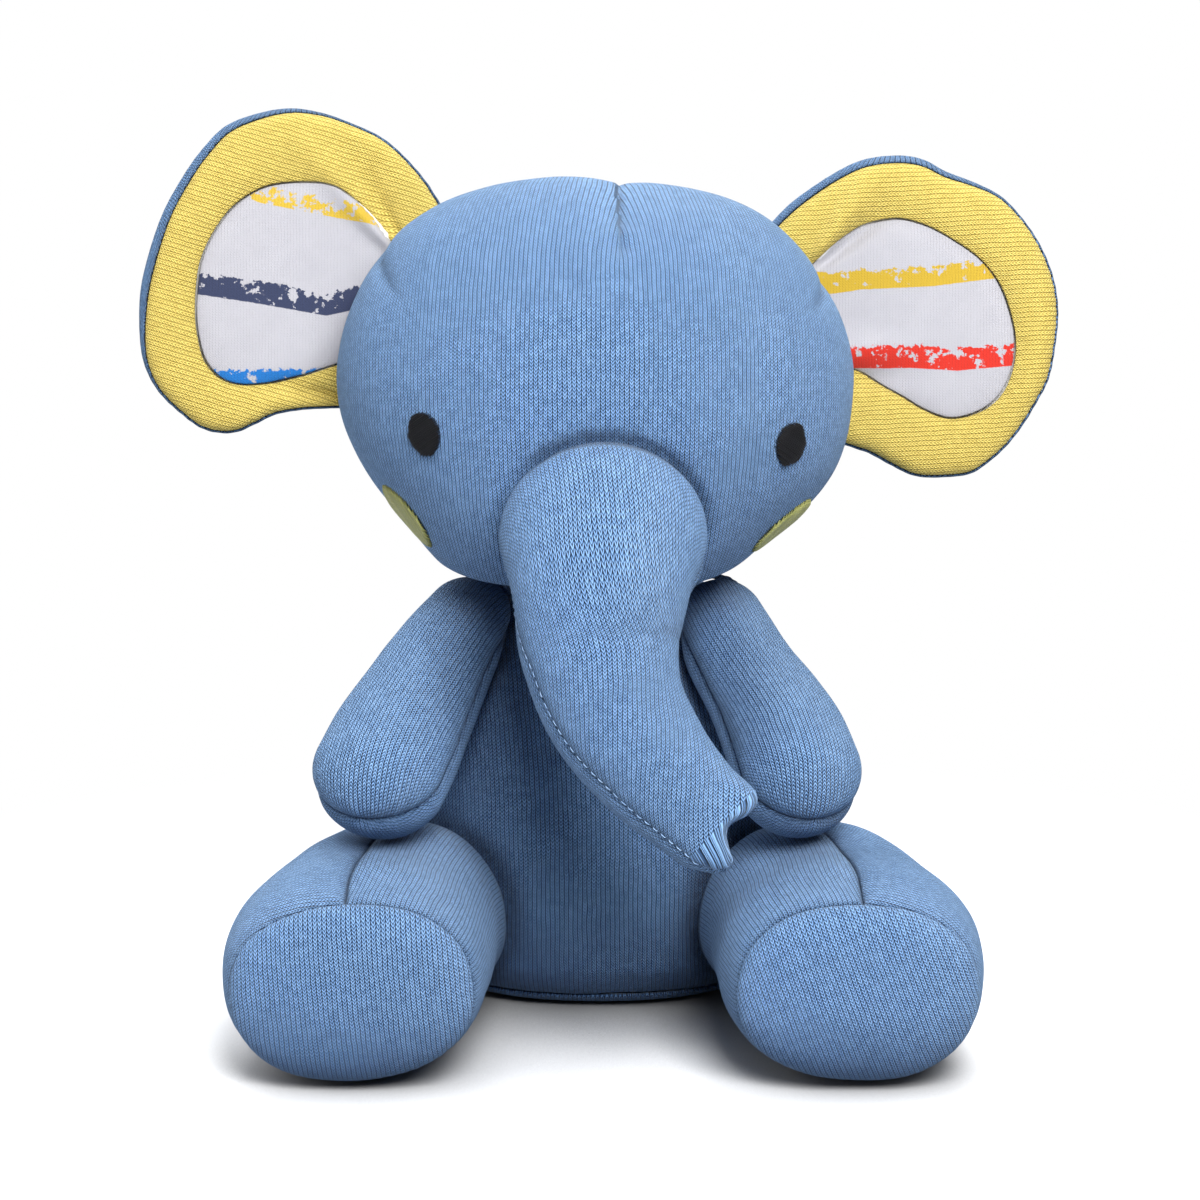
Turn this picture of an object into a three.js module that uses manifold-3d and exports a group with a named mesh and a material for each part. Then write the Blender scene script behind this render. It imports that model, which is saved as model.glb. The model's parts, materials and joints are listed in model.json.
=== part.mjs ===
// Stuffed elephant, sitting. Millimetres, +Z up, the front faces -Y.
// The origin is on the floor under the middle of the seat.
// Right and left are the elephant's own: its right is -X, its left is +X.
// Each stuffed part is a sewn cover of separate knit panels around its own stuffing.
import * as THREE from 'three';
import { mergeVertices } from 'three/addons/utils/BufferGeometryUtils.js';
import Module from 'manifold-3d';

const wasm = await Module();
wasm.setup();

// ---------------------------------------------------------------- driving dimensions
const CLOTH = 1.2;       // knit panel with its backing
const GAP = 0.3;         // clearance between neighbouring pieces
const RING = 1.0;        // doubled seam allowance, rolled inside each joint
const RUN = 0.5;         // clearance each side of a seam ring
const BALL_EXCESS = 1.02;  // enlarges faceted balls that cut clearance
const FACE_TILT = THREE.MathUtils.degToRad(11);  // the face leans back by this angle
const SIDES = { right: -1, left: 1 };  // sign of x on each side

// Axes of the head: across to the elephant's left, up the face, and back into the head.
const ACROSS = new THREE.Vector3(1, 0, 0);
const UP = new THREE.Vector3(0, Math.sin(FACE_TILT), Math.cos(FACE_TILT));
const DEEP = new THREE.Vector3(0, Math.cos(FACE_TILT), -Math.sin(FACE_TILT));

// roughness and colour of every kind of piece
const FINISHES = {
  knit: { color: 0x6f99c8, roughness: 0.9 },
  base: { color: 0x5f8bbd, roughness: 0.92 },
  sole: { color: 0x5f8bbd, roughness: 0.9 },
  ring: { color: 0x5f8bbd, roughness: 0.95 },
  earBorder: { color: 0xe5c96a, roughness: 0.9 },
  earInset: { color: 0xdcdbe1, roughness: 0.85 },
  eye: { color: 0x18181b, roughness: 0.6 },
  cheek: { color: 0xc9c38c, roughness: 0.7 },
  stuffing: { color: 0xeceae4, roughness: 1 },
};

const root = new THREE.Group();

// ---------------------------------------------------------------- solids
// the biggest body left after a cut
function biggest(solid) {
  const parts = solid.decompose();
  parts.sort((a, b) => Math.abs(b.volume()) - Math.abs(a.volume()));
  return parts[0];
}

// adds the biggest body of a solid to the group as a named mesh
function put(name, solid, finish) {
  const { vertProperties, triVerts } = biggest(solid).getMesh();
  const geometry = new THREE.BufferGeometry();
  const positions = new THREE.BufferAttribute(Float32Array.from(vertProperties), 3);
  geometry.setAttribute('position', positions);
  geometry.setIndex(new THREE.BufferAttribute(Uint32Array.from(triVerts), 1));
  geometry.computeVertexNormals();
  const material = new THREE.MeshStandardMaterial({ ...FINISHES[finish], metalness: 0 });
  const mesh = new THREE.Mesh(geometry, material);
  mesh.name = name;
  root.add(mesh);
}

function merged(geometry) {
  for (const key of Object.keys(geometry.attributes)) {
    if (key !== 'position') geometry.deleteAttribute(key);
  }
  return mergeVertices(geometry, 1e-4);
}

function solidOf(geometry) {
  const surface = merged(geometry);
  const triVerts = Uint32Array.from(surface.index.array);
  const vertProperties = Float32Array.from(surface.attributes.position.array);
  const build = () => new wasm.Manifold(new wasm.Mesh({ numProp: 3, vertProperties, triVerts }));
  const solid = build();
  if (solid.volume() > 0) return solid;
  // a mirrored surface is turned so that its faces point out
  for (let i = 0; i < triVerts.length; i += 3) {
    [triVerts[i], triVerts[i + 1]] = [triVerts[i + 1], triVerts[i]];
  }
  return build();
}

// moves every point of a closed unit sphere onto a surface
function shaped(sphere, surfacePoint) {
  const geometry = merged(sphere);
  const position = geometry.attributes.position;
  for (let i = 0; i < position.count; i++) {
    const { x, y, z } = surfacePoint(position.getX(i), position.getY(i), position.getZ(i));
    position.setXYZ(i, x, y, z);
  }
  return solidOf(geometry);
}

// a unit sphere read as a share from its bottom pole (0) to its top pole (1) and an angle
function shapedByShare(around, along, surfacePoint) {
  return shaped(new THREE.SphereGeometry(1, around, along), (x, y, z) => {
    const share = Math.acos(THREE.MathUtils.clamp(-y, -1, 1)) / Math.PI;
    return surfacePoint(share, Math.atan2(z, x));
  });
}

const signedPower = (value, exponent) => Math.sign(value) * Math.pow(Math.abs(value), exponent);

// everything on the far side of a plane from its normal, and a little past the plane by `offset`
function behind(point, normal, offset = 0) {
  const size = 600;
  const geometry = new THREE.BoxGeometry(size, size, size);
  geometry.translate(0, 0, offset - size / 2);
  const zAxis = new THREE.Vector3(0, 0, 1);
  geometry.applyQuaternion(new THREE.Quaternion().setFromUnitVectors(zAxis, normal));
  geometry.translate(point.x, point.y, point.z);
  return solidOf(geometry);
}

// splits a cover into the piece on the normal's side of a seam plane and the piece behind it
function seam(solid, point, normal) {
  return [
    solid.subtract(behind(point, normal, GAP / 2)),
    solid.subtract(behind(point, normal.clone().negate(), GAP / 2)),
  ];
}

function ball(centre, radius, detail = 2) {
  const geometry = new THREE.IcosahedronGeometry(radius, detail);
  geometry.translate(centre.x, centre.y, centre.z);
  return solidOf(geometry);
}

// an outline extruded from one height to another along the last of three axes
function prism({ shape, from, to, axes, origin, turn = 0 }) {
  const options = { depth: to - from, bevelEnabled: false, curveSegments: 8 };
  const geometry = new THREE.ExtrudeGeometry(shape, options);
  geometry.rotateZ(turn);
  geometry.translate(0, 0, from);
  geometry.applyMatrix4(new THREE.Matrix4().makeBasis(...axes).setPosition(origin));
  return solidOf(geometry);
}

// ---------------------------------------------------------------- joints
// room around a joint for its seam ring and for movement
function socket({ pivot, root: radius, room }, detail = 2) {
  return ball(pivot, (radius + 2 * RUN + RING + room) * BALL_EXCESS, detail);
}

// a ring of seam allowance on a sphere around a joint, between two angles from its axis
function seamRing({ pivot, root: radius }, axis, from, to) {
  const inner = radius + RUN;
  const outer = inner + RING;
  const profile = [[outer, from], [inner, from], [inner, to], [outer, to], [outer, from]]
    .map(([reach, angle]) => new THREE.Vector2(reach * Math.sin(angle), reach * Math.cos(angle)));
  const geometry = new THREE.LatheGeometry(profile, 16);
  const yAxis = new THREE.Vector3(0, 1, 0);
  geometry.applyQuaternion(new THREE.Quaternion().setFromUnitVectors(yAxis, axis));
  geometry.translate(pivot.x, pivot.y, pivot.z);
  return solidOf(geometry);
}

const NECK = { pivot: new THREE.Vector3(-2, 3, 99.4), root: 12.6, room: 0 };

// ---------------------------------------------------------------- stuffed tubes
// A tube has a round root about its pivot, a swept middle and a domed end.
const PATH_STEPS = 60;
const ROOT_END = 0.22;    // share of the sphere used up by the root
const DOME_START = 0.78;  // share of the sphere where the domed end starts

// the centre line as cross sections; `up` is square to both `along` and `across`
function pathOf(stations) {
  const line = new THREE.CatmullRomCurve3(
    stations.map(([x, y, z]) => new THREE.Vector3(x, y, z)));
  const size = new THREE.CatmullRomCurve3(
    stations.map((station) => new THREE.Vector3(station[3], station[4], 0)));
  const path = [];
  let across = new THREE.Vector3(1, 0, 0);
  for (let i = 0; i <= PATH_STEPS; i++) {
    const share = i / PATH_STEPS;
    const along = line.getTangent(share).normalize();
    across = across.clone().addScaledVector(along, -across.dot(along)).normalize();
    const up = new THREE.Vector3().crossVectors(along, across).normalize();
    const { x: halfWidth, y: halfHeight } = size.getPoint(share);
    path.push({ centre: line.getPoint(share), along, across, up, halfWidth, halfHeight });
  }
  return path;
}

// Stations: x, y, z of the centre line, half width, half height.
// cap: length of the domed end. power: fullness of the cross section.
// room: extra clearance of the socket. around, along: mesh divisions.
function tubePart(spec) {
  const [x, y, z, radius] = spec.stations[0];
  const pivot = new THREE.Vector3(x, y, z);
  return { ...spec, pivot, root: radius, path: pathOf(spec.stations) };
}

// the cross section at a share of the path, between its two nearest neighbours
function sectionAt(path, share) {
  const place = share * PATH_STEPS;
  const i = Math.min(Math.floor(place), PATH_STEPS - 1);
  const [a, b] = [path[i], path[i + 1]];
  const between = place - i;
  return {
    centre: a.centre.clone().lerp(b.centre, between),
    along: a.along,
    across: a.across.clone().lerp(b.across, between).normalize(),
    up: a.up.clone().lerp(b.up, between).normalize(),
    halfWidth: a.halfWidth + (b.halfWidth - a.halfWidth) * between,
    halfHeight: a.halfHeight + (b.halfHeight - a.halfHeight) * between,
  };
}

function tubePoint({ path, pivot, root: rootRadius, cap, power }, share, angle, inset) {
  if (share < ROOT_END) {
    const turn = share / ROOT_END * Math.PI / 2;
    const radius = rootRadius - inset;
    const { along, across, up } = path[0];
    return pivot.clone()
      .addScaledVector(along, -radius * Math.cos(turn))
      .addScaledVector(across, radius * Math.sin(turn) * Math.cos(angle))
      .addScaledVector(up, radius * Math.sin(turn) * Math.sin(angle));
  }
  let section = path[PATH_STEPS];
  let scale = 1;
  let reach = 0;
  if (share < DOME_START) {
    section = sectionAt(path, (share - ROOT_END) / (DOME_START - ROOT_END));
  } else {
    const turn = (share - DOME_START) / (1 - DOME_START) * Math.PI / 2;
    scale = Math.cos(turn);
    reach = (cap - inset) * Math.sin(turn);
  }
  // the cross section goes from round to its full power past the root
  const fullness = THREE.MathUtils.clamp((share - ROOT_END) / 0.2, 0, 1);
  const exponent = 2 / (2 + (power - 2) * fullness);
  const width = scale * (section.halfWidth - inset) * signedPower(Math.cos(angle), exponent);
  const height = scale * (section.halfHeight - inset) * signedPower(Math.sin(angle), exponent);
  return section.centre.clone()
    .addScaledVector(section.along, reach)
    .addScaledVector(section.across, width)
    .addScaledVector(section.up, height);
}

function tube(part, inset, along = part.along) {
  return shapedByShare(part.around, along,
    (share, angle) => tubePoint(part, share, angle, inset));
}

const hollowTube = (part, cloth = CLOTH) => tube(part, 0).subtract(tube(part, cloth));

// everything behind the pivot by more than a share of the root radius
function rootCut({ pivot, root: radius, path }, share) {
  const { along } = path[0];
  return behind(pivot.clone().addScaledVector(along, -radius * share), along);
}

const rootAxis = (part) => part.path[0].along.clone().negate();

// ---------------------------------------------------------------- tube dimensions
const TRUNK = tubePart({
  stations: [
    [0.3, -40, 121.4, 21, 21],
    [0.5, -60, 119.6, 23.4, 22.6],
    [0.1, -72.4, 110.8, 20.4, 19.2],
    [-0.1, -78.3, 97.9, 17.6, 16.8],
    [3.0, -82, 86.1, 15.8, 15.2],
    [10.9, -85, 74.3, 14.1, 13],
    [19.7, -87.5, 65.2, 12.2, 10.6],
    [26, -89.5, 59.6, 11.2, 8.4],
  ],
  cap: 3.2, power: 2, room: 3.2, around: 12, along: 14,
});

const ARM = { cap: 14.2, power: 2, room: 3.6, around: 12, along: 10 };
const ARMS = {
  right: tubePart({
    ...ARM,
    stations: [
      [-31, -14.5, 90.5, 11.2, 11.2],
      [-35.0, -22.9, 86.9, 11.8, 11.8],
      [-39.2, -31.4, 81.2, 13, 12.8],
      [-43.3, -39.9, 75.0, 14.4, 13.8],
      [-47.2, -48, 69.1, 15.6, 14.6],
      [-50.3, -55, 63.6, 15.8, 14.8],
    ],
  }),
  left: tubePart({
    ...ARM,
    stations: [
      [28.4, -14.5, 90.5, 11.2, 11.2],
      [31.0, -22.7, 86.8, 11.6, 11.6],
      [34.9, -31.2, 81.1, 12.2, 12.2],
      [39.3, -39.7, 74.9, 13.3, 13.2],
      [43.0, -48, 69.1, 14.4, 14.2],
      [45.3, -55, 63.6, 14.7, 14.6],
    ],
  }),
};

const LEG = { cap: 10.4, power: 2.25, room: 4.6, around: 14, along: 10 };
const LEGS = {
  right: tubePart({
    ...LEG,
    stations: [
      [-38.5, -24, 23.5, 20, 20],
      [-48, -42, 24.8, 26, 24.6],
      [-52.8, -58, 23.9, 28.6, 23.5],
      [-55, -72, 23.6, 29.8, 23.5],
      [-55.4, -88, 22.4, 28.4, 21.8],
    ],
  }),
  left: tubePart({
    ...LEG,
    stations: [
      [40, -24, 23.5, 20, 20],
      [49.5, -42, 24.8, 26, 24.6],
      [54.5, -58, 23.9, 28.8, 23.5],
      [56.6, -72, 23.6, 30, 23.5],
      [57.3, -88, 22.4, 28.2, 21.8],
    ],
  }),
};

const TAIL = tubePart({
  stations: [
    [0, 49, 20, 4.6, 4.6],
    [0, 55, 20, 4.6, 4.4],
    [0, 61, 17.5, 4.3, 4.1],
    [0, 65.5, 12.5, 4.3, 4],
    [0, 68, 7.8, 4.8, 4.2],
  ],
  cap: 4, power: 2, room: 1.2, around: 8, along: 10,
});
const TAIL_CLOTH = 1;

// ---------------------------------------------------------------- torso
const TORSO = {
  centreY: 4,
  power: 2.2,      // fullness of the cross section
  endShare: 0.1,   // share of the sphere that closes each end
  crown: 1.5,      // rise of the top above the last station
  baseSeam: 2.9,   // height of the seam around the base
  sideSeam: 3,     // seam between front and back, behind centreY
  // height, centre x, half width, front depth and back depth from centreY
  stations: [
    [0, 0, 33, 26, 33],
    [2.2, 0, 39, 31, 38],
    [11, 0, 47.5, 38, 43],
    [25, 0, 51.2, 42, 45.5],
    [40, 0, 51, 42.4, 44.5],
    [55, -0.4, 48.6, 39.8, 41.5],
    [70, -1.6, 44.4, 35, 37],
    [82, -3, 40.2, 29.4, 32.5],
    [91, -4, 36.4, 24.5, 28],
    [96, -4.2, 31, 19.5, 24],
    [98, -4.2, 25, 15, 19.5],
  ],
};

function torso(inset) {
  const { centreY, power, endShare, crown, stations } = TORSO;
  const sizes = new THREE.CatmullRomCurve3(
    stations.map(([, , width, front, back]) => new THREE.Vector3(width, front, back)));
  const centres = new THREE.CatmullRomCurve3(
    stations.map(([height, centreX]) => new THREE.Vector3(height, centreX, 0)));
  const topHeight = stations.at(-1)[0];
  const topShare = 1 - endShare;
  return shapedByShare(18, 15, (share, angle) => {
    const place = THREE.MathUtils.clamp((share - endShare) / (topShare - endShare), 0, 1);
    const { x: halfWidth, y: front, z: back } = sizes.getPoint(place);
    const { x: height, y: centreX } = centres.getPoint(place);
    let scale = 1;
    if (share < endShare) scale = share / endShare;
    if (share > topShare) scale = (1 - share) / (1 - topShare);
    const rise = share > topShare ? crown * (1 - scale * scale) : 0;
    const depth = Math.sin(angle) < 0 ? front : back;
    return new THREE.Vector3(
      centreX + scale * (halfWidth - inset) * signedPower(-Math.cos(angle), 2 / power),
      centreY + scale * (depth - inset) * signedPower(Math.sin(angle), 2 / power),
      Math.min(topHeight + rise - inset, Math.max(inset, height)),
    );
  });
}

function addTorso() {
  const sockets = [ARMS.right, ARMS.left, LEGS.right, LEGS.left, TAIL]
    .map((part) => socket(part))
    .reduce((a, b) => a.add(b));
  const neckOpening = ball(NECK.pivot, (NECK.root + GAP) * BALL_EXCESS);
  const cover = torso(0).subtract(torso(CLOTH)).subtract(sockets).subtract(neckOpening);

  const basePoint = new THREE.Vector3(0, 0, TORSO.baseSeam);
  const sidePoint = new THREE.Vector3(0, TORSO.centreY + TORSO.sideSeam, 0);
  const [upper, base] = seam(cover, basePoint, new THREE.Vector3(0, 0, 1));
  const [back, front] = seam(upper, sidePoint, new THREE.Vector3(0, 1, 0));
  const [backLeft, backRight] = seam(back, new THREE.Vector3(), new THREE.Vector3(1, 0, 0));
  put('torso_front_panel', front, 'knit');
  put('torso_back_left_panel', backLeft, 'knit');
  put('torso_back_right_panel', backRight, 'knit');
  put('torso_base_panel', base, 'base');

  // the stuffing carries the ball that the head sits on
  const neckBall = ball(NECK.pivot, NECK.root);
  put('torso_stuffing', torso(CLOTH + GAP).subtract(sockets).add(neckBall), 'stuffing');
}

// ---------------------------------------------------------------- head
const HEAD = {
  centre: new THREE.Vector3(-0.9, -12, 146.4),
  front: 50,   // half depths
  back: 47,
  power: 2.3,  // fullness of the side profile
  seam: 12,    // crown seam, behind the centre
  // radius of the face outline around the centre: mean, then [cosine, sine] of each harmonic
  meanRadius: 55.53,
  harmonics: [
    [-0.25, 0.1], [4.57, -0.31], [0.36, 1.64], [0.03, -0.3], [-0.08, -0.17], [0.38, -0.28],
    [-0.21, -0.48], [0.01, 0.06], [-0.08, -0.03], [-0.05, 0.07], [0.01, 0.04],
  ],
};
// hollow drawn up under the chin, around the neck axis: radius, height
const CHIN_PROFILE = [
  [0, 60], [60, 60], [60, 99], [45, 106], [34, 110], [24, 107.5], [12, 104.5], [0, 104.5],
];
const TRUNK_CLEARANCE = 1.5;
// poses of the trunk that its hole makes room for: degrees about x, degrees about z
const TRUNK_POSES = [
  [0, 0], [-13, 0], [-26, 0], [0, -11], [0, -20], [0, 5], [-26, 5], [-26, -20], [-13, -11],
];

function headPoint(across, up, deep) {
  return HEAD.centre.clone()
    .addScaledVector(ACROSS, across).addScaledVector(UP, up).addScaledVector(DEEP, deep);
}

// distance from the face centre as a share of the outline's radius in that direction
function outlineShare(across, up) {
  const angle = Math.atan2(up, across);
  let radius = HEAD.meanRadius;
  HEAD.harmonics.forEach(([cosine, sine], i) => {
    radius += cosine * Math.cos((i + 1) * angle) + sine * Math.sin((i + 1) * angle);
  });
  return Math.hypot(across, up) / radius;
}

function head(inset) {
  return shaped(new THREE.IcosahedronGeometry(1, 4), (x, y, z) => {
    const direction = new THREE.Vector3(x, y, z).normalize();
    const deep = direction.dot(DEEP);
    const faceShare = outlineShare(direction.dot(ACROSS), direction.dot(UP));
    const depthShare = Math.abs(deep) / (deep < 0 ? HEAD.front : HEAD.back);
    const total = Math.pow(faceShare, HEAD.power) + Math.pow(depthShare, HEAD.power);
    const radius = Math.pow(total, -1 / HEAD.power);
    return direction.multiplyScalar(radius - inset).add(HEAD.centre);
  });
}

// the trunk's hole is wide enough for it to lift and to swing
function trunkHole() {
  const { x, y, z } = TRUNK.pivot;
  const looseTrunk = tube(TRUNK, -TRUNK_CLEARANCE, 10);
  return TRUNK_POSES.reduce((hole, [lift, sway]) => {
    const pose = new THREE.Matrix4().makeTranslation(x, y, z)
      .multiply(new THREE.Matrix4().makeRotationX(lift * Math.PI / 180))
      .multiply(new THREE.Matrix4().makeRotationZ(sway * Math.PI / 180))
      .multiply(new THREE.Matrix4().makeTranslation(-x, -y, -z));
    return hole.add(looseTrunk.transform(pose.elements));
  }, socket(TRUNK, 3));
}

// the chin is drawn up around the neck, so the head can nod and turn over the shoulders
function chinHollow() {
  const profile = CHIN_PROFILE.map(([radius, height]) => new THREE.Vector2(radius, height));
  const geometry = new THREE.LatheGeometry(profile, 20);
  geometry.rotateX(Math.PI / 2);
  geometry.translate(NECK.pivot.x, NECK.pivot.y, 0);
  return solidOf(geometry);
}

function addHead() {
  const holes = trunkHole().add(socket(NECK));
  const hollow = chinHollow();
  const cover = head(0).subtract(head(CLOTH)).subtract(holes).subtract(hollow);
  const [back, front] = seam(cover, headPoint(0, 0, HEAD.seam), DEEP);
  put('head_front_panel', front, 'knit');
  put('head_back_panel', back, 'knit');
  put('head_stuffing', head(CLOTH + GAP).subtract(holes).subtract(hollow), 'stuffing');
  put('neck_seam_ring', seamRing(NECK, new THREE.Vector3(0, 0, 1), 0.62, 0.95), 'ring');
}

// ---------------------------------------------------------------- eyes and cheeks
// elliptical patches; places are across and up from the head's centre, tilt is in radians
const PATCHES = {
  eye: {
    halfWidth: 3.7, halfHeight: 4.9, tilt: 0.16, thickness: 0.7,
    places: { right: [-38.8, -11.9], left: [44.1, -14] },
  },
  cheek: {
    halfWidth: 6.4, halfHeight: 8.2, tilt: 0.5, thickness: 0.6,
    places: { right: [-44.6, -30], left: [43.6, -31.5] },
  },
};

// an embroidered patch lies on the face, clear of the cover
function facePatch({ halfWidth, halfHeight, thickness }, [across, up], turn) {
  const inside = Math.max(0, 1 - Math.pow(outlineShare(across, up), HEAD.power));
  const origin = headPoint(across, up, -HEAD.front * Math.pow(inside, 1 / HEAD.power));
  const outward = origin.clone().sub(HEAD.centre).normalize();
  const sideways = new THREE.Vector3().crossVectors(UP, outward).normalize();
  const upward = new THREE.Vector3().crossVectors(outward, sideways).normalize();
  const shape = new THREE.Shape()
    .absellipse(0, 0, halfWidth, halfHeight, 0, Math.PI * 2, false, 0);
  const axes = [sideways, upward, outward];
  const skin = head(-GAP - thickness).subtract(head(-GAP));
  return prism({ shape, from: -20, to: 20, axes, origin, turn }).intersect(skin);
}

function addFacePatches() {
  for (const [kind, spec] of Object.entries(PATCHES)) {
    for (const [side, sign] of Object.entries(SIDES)) {
      const solid = facePatch(spec, spec.places[side], -sign * spec.tilt);
      put(`${side}_${kind}_embroidery`, solid, kind);
    }
  }
}

// ---------------------------------------------------------------- trunk
const NOTCH = {
  outline: [[-3.2, 3], [0, -3.6], [3.2, 3]],  // across, along, from the tip of the trunk
  halfLength: 15,
  stuffingSetback: 1.6,  // how much further back the stuffing is cut
};
const TRUNK_SEAM = {
  front: -3.1,     // edge of the front panel, measured up from the centre line
  reach: 34,       // far side of the cutting ribbons
  halfWidth: 27,
  steps: 16,
  rootRun: 60,     // how far the ribbons run past each end of the trunk
  tipRun: 40,
};
const TRUNK_OPENING = { setback: 20, radius: 15 };

// V-shaped notch in the tip of the trunk
function tipNotch(along) {
  const tip = new THREE.Vector3(...TRUNK.stations.at(-1).slice(0, 3));
  const across = new THREE.Vector3().crossVectors(along, DEEP).normalize();
  const through = new THREE.Vector3().crossVectors(along, across).normalize();
  return prism({
    shape: new THREE.Shape(NOTCH.outline.map(([x, y]) => new THREE.Vector2(x, y))),
    from: -NOTCH.halfLength,
    to: NOTCH.halfLength,
    axes: [across, along, through],
    origin: tip.addScaledVector(along, TRUNK.cap),
  });
}

// a thick ribbon that follows the trunk's centre line, between two heights above it
function trunkRibbon(from, to) {
  const { halfWidth, steps, rootRun, tipRun } = TRUNK_SEAM;
  const corners = [[-halfWidth, from], [halfWidth, from], [halfWidth, to], [-halfWidth, to]];
  const positions = [];
  const indices = [];
  const quad = (a, b, c, d) => indices.push(a, b, c, a, c, d);
  for (let i = 0; i <= steps; i++) {
    const section = TRUNK.path[Math.round(i / steps * PATH_STEPS)];
    let run = 0;
    if (i === 0) run = -rootRun;
    if (i === steps) run = tipRun;
    for (const [across, up] of corners) {
      const corner = section.centre.clone()
        .addScaledVector(section.along, run)
        .addScaledVector(section.across, across)
        .addScaledVector(section.up, up);
      positions.push(corner.x, corner.y, corner.z);
    }
  }
  for (let i = 0; i < steps; i++) {
    for (let j = 0; j < 4; j++) {
      const near = 4 * i;
      const next = (j + 1) % 4;
      quad(near + j, near + next, near + 4 + next, near + 4 + j);
    }
  }
  const last = 4 * steps;
  quad(3, 2, 1, 0);
  quad(last, last + 1, last + 2, last + 3);
  const geometry = new THREE.BufferGeometry();
  geometry.setAttribute('position', new THREE.Float32BufferAttribute(positions, 3));
  geometry.setIndex(indices);
  return solidOf(geometry);
}

// the front panel is the upper side of the root, which faces forward where the trunk hangs
function addTrunk() {
  const [before, tip] = TRUNK.stations.slice(-2).map(([x, y, z]) => new THREE.Vector3(x, y, z));
  const along = tip.sub(before).normalize();
  const notch = tipNotch(along);
  const openingCentre = TRUNK.pivot.clone()
    .addScaledVector(rootAxis(TRUNK), TRUNK_OPENING.setback);
  const opening = ball(openingCentre, TRUNK_OPENING.radius, 3);
  const cover = hollowTube(TRUNK);
  const { front, reach } = TRUNK_SEAM;
  const panel = (ribbon) => cover.intersect(ribbon).subtract(notch).subtract(opening);
  put('trunk_front_panel', panel(trunkRibbon(front, reach)), 'knit');
  put('trunk_under_panel', panel(trunkRibbon(front - GAP, -reach)), 'knit');

  const setback = along.clone().multiplyScalar(-NOTCH.stuffingSetback).toArray();
  const deepNotch = notch.add(notch.translate(setback));
  put('trunk_stuffing', tube(TRUNK, CLOTH + GAP).subtract(deepNotch), 'stuffing');
  put('trunk_seam_ring', seamRing(TRUNK, rootAxis(TRUNK), 0.6, 0.8), 'ring');
}

// ---------------------------------------------------------------- arms and legs
const LIMB_OPENING = 0.55;     // cover opening behind the pivot, as a share of the root radius
const LIMB_SEAM_PLACE = 0.55;  // the seam plane passes through the path here
const SOLE_SEAM = 0.8;         // past the end of the leg's path

// adds a limb's stuffing and ring, and returns its cover split along the limb
function addLimb(name, part, normal) {
  const { path } = part;
  put(`${name}_stuffing`, tube(part, CLOTH + GAP), 'stuffing');
  put(`${name}_seam_ring`, seamRing(part, rootAxis(part), 0.55, 0.8), 'ring');
  const cover = hollowTube(part).subtract(rootCut(part, LIMB_OPENING));
  return seam(cover, path[Math.round(path.length * LIMB_SEAM_PLACE)].centre, normal);
}

const pathDirection = ({ path }, from, to) =>
  path[to].centre.clone().sub(path[from].centre).normalize();

function addArm(side, sign) {
  const arm = ARMS[side];
  const direction = pathDirection(arm, 0, 40);
  // forward and a little outward, made square to the arm
  const normal = new THREE.Vector3(sign * 0.38, -0.9, 0.15);
  normal.addScaledVector(direction, -normal.dot(direction)).normalize();
  const [front, back] = addLimb(`${side}_arm`, arm, normal);
  put(`${side}_arm_front_panel`, front, 'knit');
  put(`${side}_arm_back_panel`, back, 'knit');
}

function addLeg(side, sign) {
  const leg = LEGS[side];
  const direction = pathDirection(leg, 20, PATH_STEPS);
  const normal = direction.clone().cross(new THREE.Vector3(0, 0, 1)).normalize();
  if (normal.x * sign < 0) normal.negate();
  const [outer, inner] = addLimb(`${side}_leg`, leg, normal);

  const { centre, along } = leg.path[PATH_STEPS];
  const soleCentre = centre.clone().addScaledVector(along, SOLE_SEAM);
  const [sole] = seam(hollowTube(leg), soleCentre, along);
  const soleCut = behind(soleCentre, along.clone().negate(), GAP / 2);
  put(`${side}_leg_outer_panel`, outer.subtract(soleCut), 'knit');
  put(`${side}_leg_inner_panel`, inner.subtract(soleCut), 'knit');
  put(`${side}_sole_panel`, sole, 'sole');
}

// ---------------------------------------------------------------- ears
const EAR = {
  cloth: 1.6,
  wadding: 2.4,
  clear: 3.2,         // clearance to the head
  depth: 13,          // middle of the ear, behind the head's centre
  waddingInset: 2.5,  // from the edge of the ear
  borderInset: 1,
  holeOverrun: 2,     // how far the inset's hole is cut past the front
};
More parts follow.
